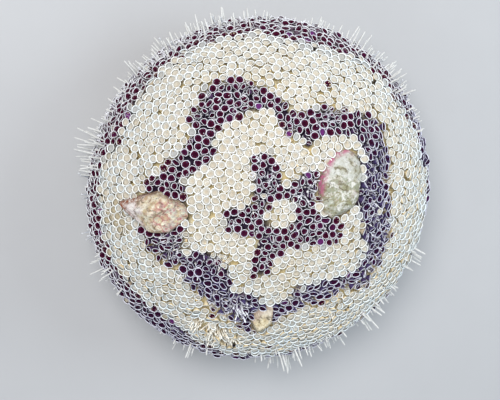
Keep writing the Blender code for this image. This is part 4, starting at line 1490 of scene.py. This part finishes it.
def loose_strands(coat, rng):
    """Strands in the untidy patches, the fringe and the bare tufts, leaning any way."""
    phi, theta = spread(coat.strand_pitch, rng, oral_share=2.0, rounds=0)
    untidy = patch_share(UNTIDY, phi, theta)
    fringe = fringe_share(phi, theta)
    bare = patch_share(BARE, phi, theta)
    kept = rng.random(len(phi)) < 0.02 + 0.60 * untidy + 0.45 * fringe + 0.9 * bare
    phi, theta, untidy, fringe, bare = phi[kept], theta[kept], untidy[kept], fringe[kept], bare[kept]
    count = len(phi)
    lean = np.radians(rng.uniform(*LOOSE_LEANS, count) * (1 - 0.55 * fringe) * (1 - 0.35 * bare))
    top = rng.uniform(*LOOSE_TOPS, count) + UNTIDY_HIGHER * untidy * rng.random(count)
    top = top + np.maximum(fringe, bare) * rng.uniform(*LOOSE_HIGHER, count)
    radius = rng.uniform(*LOOSE_RADII, count) * (1 + 0.6 * untidy + 0.5 * fringe + 1.0 * bare)
    return phi, theta, lean, rng.uniform(0, math.tau, count), top, radius


def strand_side(phi, theta, way):
    """The way along the test that each strand leans: way is its angle from straight down."""
    down, around, _ = surface_axes(phi, theta)
    return down * np.cos(way)[:, None] + around * np.sin(way)[:, None]


def build_strands(context):
    """Slender shut pincers between the cups, close together in the untidy patches."""
    coat = context.scene.urchin_coat
    rng = np.random.default_rng(SEED + 4)
    sets = zip(gap_strands(coat, rng), loose_strands(coat, rng))
    joined = [np.concatenate(pair) for pair in sets]
    free = ~under_rubble(surface(joined[0], joined[1], CUP_HEIGHT), 1.12)
    phi, theta, lean, way, top, radius = (values[free] for values in joined)
    outward = surface_axes(phi, theta)[2]
    slant = lean[:, None]
    rods = {
        "phi": phi,
        "theta": theta,
        "radius": radius,
        "length": top / np.cos(lean),
        "bend": rng.normal(0, 0.05, len(phi)),
        "direction": unit(outward * np.cos(slant) + strand_side(phi, theta, way) * np.sin(slant)),
        "turn": rng.uniform(0, math.tau, len(phi)),
        "tone": np.maximum(purple_share(phi, theta), fringe_share(phi, theta)),
    }
    form = form_of(turned(STRAND_PROFILE, STRAND_SIDES))
    add_rods_by_column("strands", form, rods, ("reach", "tone"), strand_material())


def tube_foot_places(rows, rng):
    """Four rows of places down each ambulacrum."""
    arcs = np.linspace(*FOOT_ROW_ENDS, rows)
    phi = []
    theta = []
    for column in range(COLUMN_COUNT):
        middle = math.radians(FIRST_AMBULACRUM + SECTOR_ANGLE * column)
        for side in FOOT_ROW_SIDES:
            phi.append(phi_of(arcs + rng.normal(0, FOOT_JITTER[0], rows)))
            theta.append(middle + AMBULACRUM_HALF * side + rng.normal(0, FOOT_JITTER[1], rows))
    phi, theta = np.concatenate(phi), np.concatenate(theta)
    kept = ~under_rubble(surface(phi, theta, CUP_HEIGHT), 1.05)
    return phi[kept], theta[kept]


def build_tube_feet(context):
    """Two double rows of tube feet down each ambulacrum, longest at and below the margin."""
    rng = np.random.default_rng(SEED + 2)
    phi, theta = tube_foot_places(context.scene.urchin_coat.tube_foot_rows, rng)
    count = len(phi)
    low = within(arc_of(phi), *LONG_FOOT_BAND)
    length = FOOT_LENGTH + low * rng.uniform(*LONG_FOOT_MORE, count)
    radius = rng.uniform(*FOOT_RADII, count)
    rods = leaning_rods(phi, theta, radius, length, rng, bend=0.10, lean=0.14, fall=low * 0.25)
    form = form_of(turned(FOOT_PROFILE, FOOT_SIDES))
    piece = add_rods("tube_feet", form, rods, ("reach",), tube_foot_material())


# The skin

def build_skin(context):
    """One skin over the whole test, from the apex to the mouth's membrane."""
    radius, height = meridian(np.linspace(0.0, math.pi, SKIN_ROWS + 1), SKIN_DEPTH)
    radius[0] = 0.0
    profile = list(zip(radius, height))
    profile[-1] = (0.0, height[-2])
    bm = turned(profile, SKIN_SEGMENTS)
    bmesh.ops.recalc_face_normals(bm, faces=bm.faces)
    mesh = mesh_of(bm, "skin")
    points = np.array([vert.co[:] for vert in mesh.vertices])
    theta = np.arctan2(points[:, 1], points[:, 0])
    across = np.hypot(points[:, 0], points[:, 1])
    phi = nearest_phi(across, points[:, 2], np.linspace(0.0, math.pi, SKIN_PHI_STEPS), SKIN_DEPTH)
    across = outlined(across, theta)
    points[:, 0] = across * np.cos(theta)
    points[:, 1] = across * np.sin(theta)
    mesh.vertices.foreach_set("co", points.reshape(-1))
    mesh.shade_smooth()
    add_values(mesh, "tone", purple_share(phi, theta, SKIN_EDGE_SOFT))
    add_values(mesh, "oral", np.clip((phi - ORAL_FROM) / 0.5, 0, 1))
    add_values(mesh, "lilac", np.clip((squeezed_share(phi, theta) - 0.35) / 0.5, 0, 1))
    corners = np.array([loop.vertex_index for loop in mesh.loops])
    add_unwrap(mesh, unwrap(phi, theta)[corners])
    mesh.materials.append(skin_material(context.scene.urchin_colours))
    piece = dressed(bpy.data.objects.new("skin", mesh))
    kinds = ("ambulacrum", "interambulacrum")
    columns = [f"{kind}_{index + 1}" for kind in kinds for index in range(COLUMN_COUNT)]
    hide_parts(*columns, "apical_disc")


# The mouth

def membrane_profile():
    """Half the section of the mouth membrane, from its edge in to the lip and back over the top."""
    edge = MOUTH_RADIUS + MEMBRANE_OVERLAP
    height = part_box("peristome")[0][2] + MEMBRANE_RAISED
    profile = [(edge * share, height + up) for share, up in MEMBRANE_OUTER]
    profile += [(LIP_RADIUS * share, height + up) for share, up in MEMBRANE_LIP]
    return profile + [(edge, height + MEMBRANE_TOP)]


def build_membrane(context):
    """The dusky pink mouth membrane with its folds and puckered lip."""
    bm = turned(membrane_profile(), MEMBRANE_SEGMENTS)
    for vert in bm.verts:
        angle = math.atan2(vert.co.y, vert.co.x)
        across = math.hypot(vert.co.x, vert.co.y)
        inwards = clamped((MOUTH_RADIUS + MEMBRANE_OVERLAP - across) / 0.004)
        fold = FOLDS[1] * math.sin(FOLDS[0] * angle) * inwards
        pucker = PUCKERS[1] * math.sin(PUCKERS[0] * angle) if across < LIP_RADIUS * 1.2 else 0.0
        vert.co.z += fold + pucker + 0.0002 * noise.noise(vert.co * 900)
    bmesh.ops.recalc_face_normals(bm, faces=bm.faces)
    mesh = mesh_of(bm, "mouth_membrane")
    mesh.shade_smooth()
    mesh.materials.append(mottled_material("peristome", MEMBRANE_LOOK, roughness=0.4, relief=0.0006))
    piece = dressed(bpy.data.objects.new("mouth_membrane", mesh))
    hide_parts("peristome")


def tooth_form():
    """One curved chisel tooth, a unit long, from its root at 0 to its tip at 1."""
    bm = bmesh.new()
    bmesh.ops.create_cube(bm, size=1.0)
    bmesh.ops.subdivide_edges(bm, edges=list(bm.edges), cuts=5, use_grid_fill=True)
    for vert in bm.verts:
        along = vert.co.z + 0.5
        corner = abs(vert.co.x * vert.co.y * 4) ** 2
        rounded = 1.0 - 0.16 * corner
        vert.co.x *= (1.0 - 0.62 * along**2.2) * rounded
        vert.co.y = vert.co.y * (1.0 - 0.62 * along) * rounded + 0.20 * along**2
        vert.co.z = along
    return form_of(bm)


def build_teeth(context):
    """Five chisel teeth that meet at the middle of the mouth."""
    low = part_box("teeth")[0][2]
    form = tooth_form()
    theta = np.radians(FIRST_AMBULACRUM + SECTOR_ANGLE * (np.arange(COLUMN_COUNT) + 0.5))
    outward = np.stack([np.cos(theta), np.sin(theta), np.zeros(COLUMN_COUNT)], axis=-1)
    point = -outward * math.sin(TOOTH_LEAN) - np.array([0, 0, math.cos(TOOTH_LEAN)])
    across = np.stack([-np.sin(theta), np.cos(theta), np.zeros(COLUMN_COUNT)], axis=-1)
    frames = np.stack([across, np.cross(point, across), point], axis=-1)
    size = (TOOTH_WIDTH * 1.7, TOOTH_WIDTH * 1.2, TOOTH_LENGTH)
    local = np.tile(form[0] * size, (COLUMN_COUNT, 1, 1))
    tips = -outward * TOOTH_GAP + np.array([0, 0, low + TOOTH_GAP])
    points = placed(local, frames, tips - point * TOOTH_LENGTH)
    flat = unwrap(np.full(COLUMN_COUNT, math.pi), theta)
    material = mottled_material("tooth", TOOTH_LOOK, roughness=0.25, relief=0.0001)
    piece = joined_mesh("mouth_teeth", form, points, flat, {"reach": form[0][None, :, 2]}, material)
    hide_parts("teeth")


def build_gills(context):
    """Ten bushy gills round the mouth's edge."""
    rng = np.random.default_rng(SEED + 3)
    phi = []
    theta = []
    for column in range(COLUMN_COUNT):
        middle = math.radians(FIRST_AMBULACRUM + SECTOR_ANGLE * (column + 0.5))
        for side in (-1, 1):
            for _ in range(GILL_TUFT):
                theta.append(middle + side * GILL_SIDE + rng.normal(0, GILL_JITTER[0]))
                phi.append(GILL_PHI + rng.normal(0, GILL_JITTER[1]))
    phi, theta = np.array(phi), np.array(theta)
    radius = rng.uniform(*GILL_RADII, len(phi))
    length = rng.uniform(*GILL_LENGTHS, len(phi))
    rods = leaning_rods(phi, theta, radius, length, rng, bend=0.15, lean=0.38, fall=-0.3)
    material = mottled_material("gill", GILL_LOOK, roughness=0.35, relief=0.0002)
    form = form_of(turned(GILL_PROFILE, GILL_SIDES))
    piece = add_rods("gills", form, rods, ("reach",), material)


# Rubble

def crack_mask(tree, low, high, most):
    """Broken dark lines, as shallow cracks in a worn stone."""
    place = object_place(tree)
    bent = new_node(tree, "ShaderNodeTexNoise", Vector=place, Scale=500.0, Detail=4.0).outputs["Color"]
    moved = worked_out(tree, "ShaderNodeVectorMath", "MULTIPLY_ADD", bent, CRACK_BEND, place)[0]
    cells = new_node(tree, "ShaderNodeTexVoronoi", Vector=moved, Scale=260.0)
    cells.feature = "DISTANCE_TO_EDGE"
    lines = ranged(tree, cells.outputs["Distance"], low, high, most, 0.0)
    return product(tree, lines, ranged(tree, noise_value(tree, 330.0, 3.0, 0.6), 0.46, 0.58))


def rubble_material(name, looks):
    """Worn limestone: a pale end, a grey-green one, stains, a vein, cracks, pits and crust at its edge."""
    base, blotch, end, stain, crust, streak = looks
    material, tree = new_material(name, roughness=0.85, specular=0.25)
    along = attribute(tree, "along")

    def speckles(scale, detail, roughness, *limits):
        return ranged(tree, noise_value(tree, scale, detail, roughness), *limits)

    low_end = ranged(tree, along, -0.50, -0.10, 1.0, 0.35)
    tinged = product(tree, speckles(800.0, 6.0, 0.8, 0.50, 0.60), low_end)
    tail = product(tree, ranged(tree, along, -0.52, -0.44, 0.75, 0.0), speckles(300.0, 3.0, 0.6, 0.44, 0.54))
    vein = product(tree, ranged(tree, along, -0.46, -0.41), ranged(tree, along, -0.41, -0.34, 0.8, 0.0))
    # Painted shade: a speckled brown line along the stone's edge, where it meets the coat
    rim = product(tree, attribute(tree, "outline"), speckles(420.0, 3.0, 0.55, 0.36, 0.60, 0.1, 0.6))
    crusted = product(tree, attribute(tree, "edge"), speckles(520.0, 6.0, 0.7, 0.42, 0.54))
    layers = (
        (ranged(tree, along, 0.10, 0.35, 0.0, 0.85), end),
        (tail, TAIL),
        (tinged, stain),
        (vein, stain),
        (crack_mask(tree, 0.08, 0.32, streak), stain),
        (speckles(1300.0, 5.0, 0.75, 0.56, 0.64, 0.0, 0.7), PIT_BROWN),
        (crack_mask(tree, 0.02, 0.09, 0.75), CRACK_BROWN),
        (speckles(240.0, 5.0, 0.75, 0.54, 0.66, 0.0, 0.25), BLUSH),
        (rim, OUTLINE_SHADE),
        (crusted, crust),
    )
    colour = mottled(tree, base, blotch, 620.0, 0.45, 0.56).outputs["Color"]
    for mask, over in layers:
        colour = mixed(tree, mask, colour, over)
    return painted(material, colour, noise_value(tree, 1500.0, 6.0, 0.72), relief=0.0008)


def edge_room(place, spec):
    """How far a place on a stone lies in from the stone's edge, as seen from above."""
    long, wide, _ = spec["half_sizes"]
    room = (1 - math.hypot(place.x / long, place.y / wide)) * wide
    for (x, y, z), distance in spec["flats"]:
        if z <= UPRIGHT_FLAT:
            room = min(room, distance - place.x * x - place.y * y)
    return room


def worn_place(place, spec):
    """A place of a smooth oval cut by the stone's flats."""
    long, wide, high = spec["half_sizes"]
    place = Vector((place.x * long, place.y * wide, place.z * high))
    for direction, distance in spec["flats"]:
        normal = Vector(direction).normalized()
        place -= normal * max(0.0, place.dot(normal) - distance)
    return place


def build_stone(name, spec):
    """One worn, chipped stone with pits, as in the solids but rougher."""
    bm = bmesh.new()
    bmesh.ops.create_icosphere(bm, subdivisions=STONE_SUBDIVISIONS, radius=1)
    long, wide, _ = spec["half_sizes"]
    size = min(spec["half_sizes"])
    side = CRUST_SIDES[name]
    values = {"edge": [], "along": [], "outline": []}
    for vert in bm.verts:
        vert.co = worn_place(vert.co, spec)
        room = edge_room(vert.co, spec)
        rough = noise.fractal(vert.co * 260, 0.8, 2.1, 5)
        pits = max(0.0, noise.noise(vert.co * 900) - 0.15)
        vert.co *= 1 + (STONE_ROUGH * rough - STONE_PITS * pits) * size / vert.co.length
        values["along"].append(vert.co.x / long + 0.35 * noise.noise(vert.co * 300))
        facing = (vert.co.x / long * side[0] + vert.co.y / wide * side[1]) * 1.8 + side[2]
        values["edge"].append(clamped(1.5 - room / CRUST_WIDTH) * clamped(facing))
        # How near the edge the line of painted shade lies
        values["outline"].append(clamped(1.5 - room / OUTLINE_WIDTH))
    middle, turn = rubble_frame(spec)
    bmesh.ops.transform(bm, matrix=Matrix.Translation(middle) @ turn, verts=bm.verts)
    mesh = mesh_of(bm, "stone_" + name)
    mesh.shade_smooth()
    for label, numbers in values.items():
        add_values(mesh, label, numbers)
    mesh.materials.append(rubble_material("stone_" + name, RUBBLE_LOOKS[name]))
    piece = dressed(bpy.data.objects.new("stone_" + name, mesh))
    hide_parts(name)


# The stage

def build_floor():
    """A plain pale floor."""
    bm = bmesh.new()
    bmesh.ops.create_grid(bm, x_segments=4, y_segments=4, size=FLOOR_HALF)
    mesh = mesh_of(bm, "studio_floor")
    material, tree = new_material("studio_floor", roughness=0.8, specular=0.2)
    shade = mottled(tree, *FLOOR_LOOK)
    shader = tree.nodes["Principled BSDF"]
    tree.links.new(shade.outputs["Color"], shader.inputs["Base Color"])
    mesh.materials.append(material)
    floor = bpy.data.objects.new("studio_floor", mesh)
    bpy.context.scene.collection.objects.link(floor)


def add_light(name, place, size, power, colour):
    """A round soft light that shines on the animal."""
    light = bpy.data.lights.new(name, "AREA")
    light.shape = "DISK"
    light.size = size
    light.energy = power
    light.color = colour
    obj = bpy.data.objects.new(name, light)
    obj.location = place
    obj.rotation_euler = (Vector(LIGHT_AIM) - Vector(place)).to_track_quat("-Z", "Y").to_euler()
    bpy.context.scene.collection.objects.link(obj)


def build_lights():
    """A soft key light, two weak cool ones and pale air."""
    for light in LIGHTS:
        add_light(*light)
    world = bpy.data.worlds.new("studio_air")
    world.use_nodes = True
    air = world.node_tree.nodes["Background"]
    air.inputs["Color"].default_value = AIR_COLOUR
    air.inputs["Strength"].default_value = AIR_STRENGTH
    bpy.context.scene.world = world
    bpy.context.scene.view_settings.view_transform = "Standard"


def build_camera():
    """The camera over the photo's upper left, with +Y up in the picture."""
    tilt, side = CAMERA_TILT, CAMERA_SIDE
    back = Vector((math.sin(tilt) * math.cos(side), math.sin(tilt) * math.sin(side), math.cos(tilt)))
    up = Vector((0, 1, 0))
    up = (up - back * up.dot(back)).normalized()
    turn = Matrix((up.cross(back), up, back)).transposed().to_4x4()
    lens = bpy.data.cameras.new("photo_camera")
    lens.lens = CAMERA_LENS
    lens.sensor_width = SENSOR_WIDTH
    lens.clip_start = CLIP_START
    camera = bpy.data.objects.new("photo_camera", lens)
    camera.matrix_world = Matrix.Translation(Vector(CAMERA_AIM) + back * CAMERA_DISTANCE) @ turn
    bpy.context.scene.collection.objects.link(camera)
    bpy.context.scene.camera = camera


# The add-on

def length_property(name, description, default):
    """A length of at least a millimetre in the panel."""
    return FloatProperty(name=name, description=description, default=default, min=0.001, unit="LENGTH")


def colour_property(name, description, default):
    """A colour in the panel."""
    return FloatVectorProperty(
        name=name, description=description, default=default, subtype="COLOR", min=0, max=1
    )


class UrchinCoat(bpy.types.PropertyGroup):
    """How close and how long the parts of the coat are"""

    cup_pitch: length_property("Cup pitch", "Distance between open cups", 0.00285)
    small_cup_share: FloatProperty(
        name="Lower cups", description="Share of gaps with a smaller cup", default=0.55, subtype="FACTOR"
    )
    strand_pitch: length_property("Strand pitch", "Least distance between strands", 0.00125)
    spine_pitch: length_property("Spine pitch", "Distance between spines", 0.0056)
    spine_reach: length_property("Spine reach", "How far spines pass the cups at the margin", 0.0090)
    tube_foot_rows: IntProperty(name="Tube feet", description="Tube feet down each row", default=30, min=2)


class UrchinColours(bpy.types.PropertyGroup):
    """The main colours of the coat and the skin"""

    rim_warm: colour_property("Warm rim", "Rims of cream cups", (0.97, 0.97, 0.96))
    rim_cool: colour_property("Cool rim", "Rims of purple cups", (0.93, 0.94, 0.99))
    cream: colour_property("Cream", "Bowls of cream cups", (0.60, 0.575, 0.51))
    cream_middle: colour_property("Cream middle", "Middles of cream cups", (0.53, 0.455, 0.35))
    purple: colour_property("Purple", "Bowls of purple cups", (0.030, 0.0006, 0.011))
    violet: colour_property("Violet", "The palest purple bowls", (0.16, 0.03, 0.18))
    skin_ochre: colour_property("Ochre skin", "Skin between cream cups", (0.76, 0.62, 0.33))
    skin_violet: colour_property("Violet skin", "Skin between purple cups", (0.018, 0.010, 0.024))
    skin_lilac: colour_property("Lilac skin", "Skin between squeezed cups", (0.15, 0.10, 0.23))


class URCHIN_OT_skin(bpy.types.Operator):
    """Adds the skin over the test"""

    bl_idname = "urchin.skin"
    bl_label = "Skin"

    def execute(self, context):
        build_skin(context)
        return {"FINISHED"}


class URCHIN_OT_cups(bpy.types.Operator):
    """Adds the coat of cups on stalks"""

    bl_idname = "urchin.cups"
    bl_label = "Cups"

    def execute(self, context):
        build_cups(context)
        return {"FINISHED"}


class URCHIN_OT_buds(bpy.types.Operator):
    """Adds the blunt shut pincers in the gaps between the cups"""

    bl_idname = "urchin.buds"
    bl_label = "Buds"

    def execute(self, context):
        build_buds(context)
        return {"FINISHED"}


class URCHIN_OT_strands(bpy.types.Operator):
    """Adds the slender shut pincers between the cups"""

    bl_idname = "urchin.strands"
    bl_label = "Strands"

    def execute(self, context):
        build_strands(context)
        return {"FINISHED"}


class URCHIN_OT_spines(bpy.types.Operator):
    """Adds the spines"""

    bl_idname = "urchin.spines"
    bl_label = "Spines"

    def execute(self, context):
        build_spines(context)
        return {"FINISHED"}


class URCHIN_OT_tube_feet(bpy.types.Operator):
    """Adds the tube feet"""

    bl_idname = "urchin.tube_feet"
    bl_label = "Tube Feet"

    def execute(self, context):
        build_tube_feet(context)
        return {"FINISHED"}


class URCHIN_OT_mouth(bpy.types.Operator):
    """Adds the mouth membrane, the teeth and the gills"""

    bl_idname = "urchin.mouth"
    bl_label = "Mouth"

    def execute(self, context):
        build_membrane(context)
        build_teeth(context)
        build_gills(context)
        return {"FINISHED"}


class URCHIN_OT_rubble(bpy.types.Operator):
    """Adds the three carried bits of rubble"""

    bl_idname = "urchin.rubble"
    bl_label = "Rubble"

    def execute(self, context):
        for name, spec in RUBBLE.items():
            build_stone(name, spec)
        return {"FINISHED"}


class URCHIN_OT_stage(bpy.types.Operator):
    """Adds the floor, the lights and the camera"""

    bl_idname = "urchin.stage"
    bl_label = "Stage"

    def execute(self, context):
        build_floor()
        build_lights()
        build_camera()
        return {"FINISHED"}


class URCHIN_PT_panel(bpy.types.Panel):
    bl_label = "Flower urchin"
    bl_idname = "URCHIN_PT_panel"
    bl_space_type = "VIEW_3D"
    bl_region_type = "UI"
    bl_category = "Urchin"

    def draw(self, context):
        layout = self.layout
        for group in (context.scene.urchin_coat, context.scene.urchin_colours):
            for name in group.__annotations__:
                layout.prop(group, name)
        for operator in OPERATORS:
            layout.operator(operator.bl_idname)


OPERATORS = (
    URCHIN_OT_skin,
    URCHIN_OT_cups,
    URCHIN_OT_buds,
    URCHIN_OT_strands,
    URCHIN_OT_spines,
    URCHIN_OT_tube_feet,
    URCHIN_OT_mouth,
    URCHIN_OT_rubble,
    URCHIN_OT_stage,
)
CLASSES = (UrchinCoat, UrchinColours, *OPERATORS, URCHIN_PT_panel)


def register():
    """Adds the operators, the panel and the scene's settings."""
    for each in CLASSES:
        bpy.utils.register_class(each)
    bpy.types.Scene.urchin_coat = PointerProperty(type=UrchinCoat)
    bpy.types.Scene.urchin_colours = PointerProperty(type=UrchinColours)


def unregister():
    """Takes them out again."""
    del bpy.types.Scene.urchin_colours
    del bpy.types.Scene.urchin_coat
    for each in reversed(CLASSES):
        bpy.utils.unregister_class(each)


def main():
    """Builds the whole urchin on its stage."""
    register()
    bpy.ops.urchin.skin()
    bpy.ops.urchin.cups()
    bpy.ops.urchin.buds()
    bpy.ops.urchin.strands()
    bpy.ops.urchin.spines()
    bpy.ops.urchin.tube_feet()
    bpy.ops.urchin.mouth()
    bpy.ops.urchin.rubble()
    bpy.ops.urchin.stage()


if __name__ == "__main__":
    main()
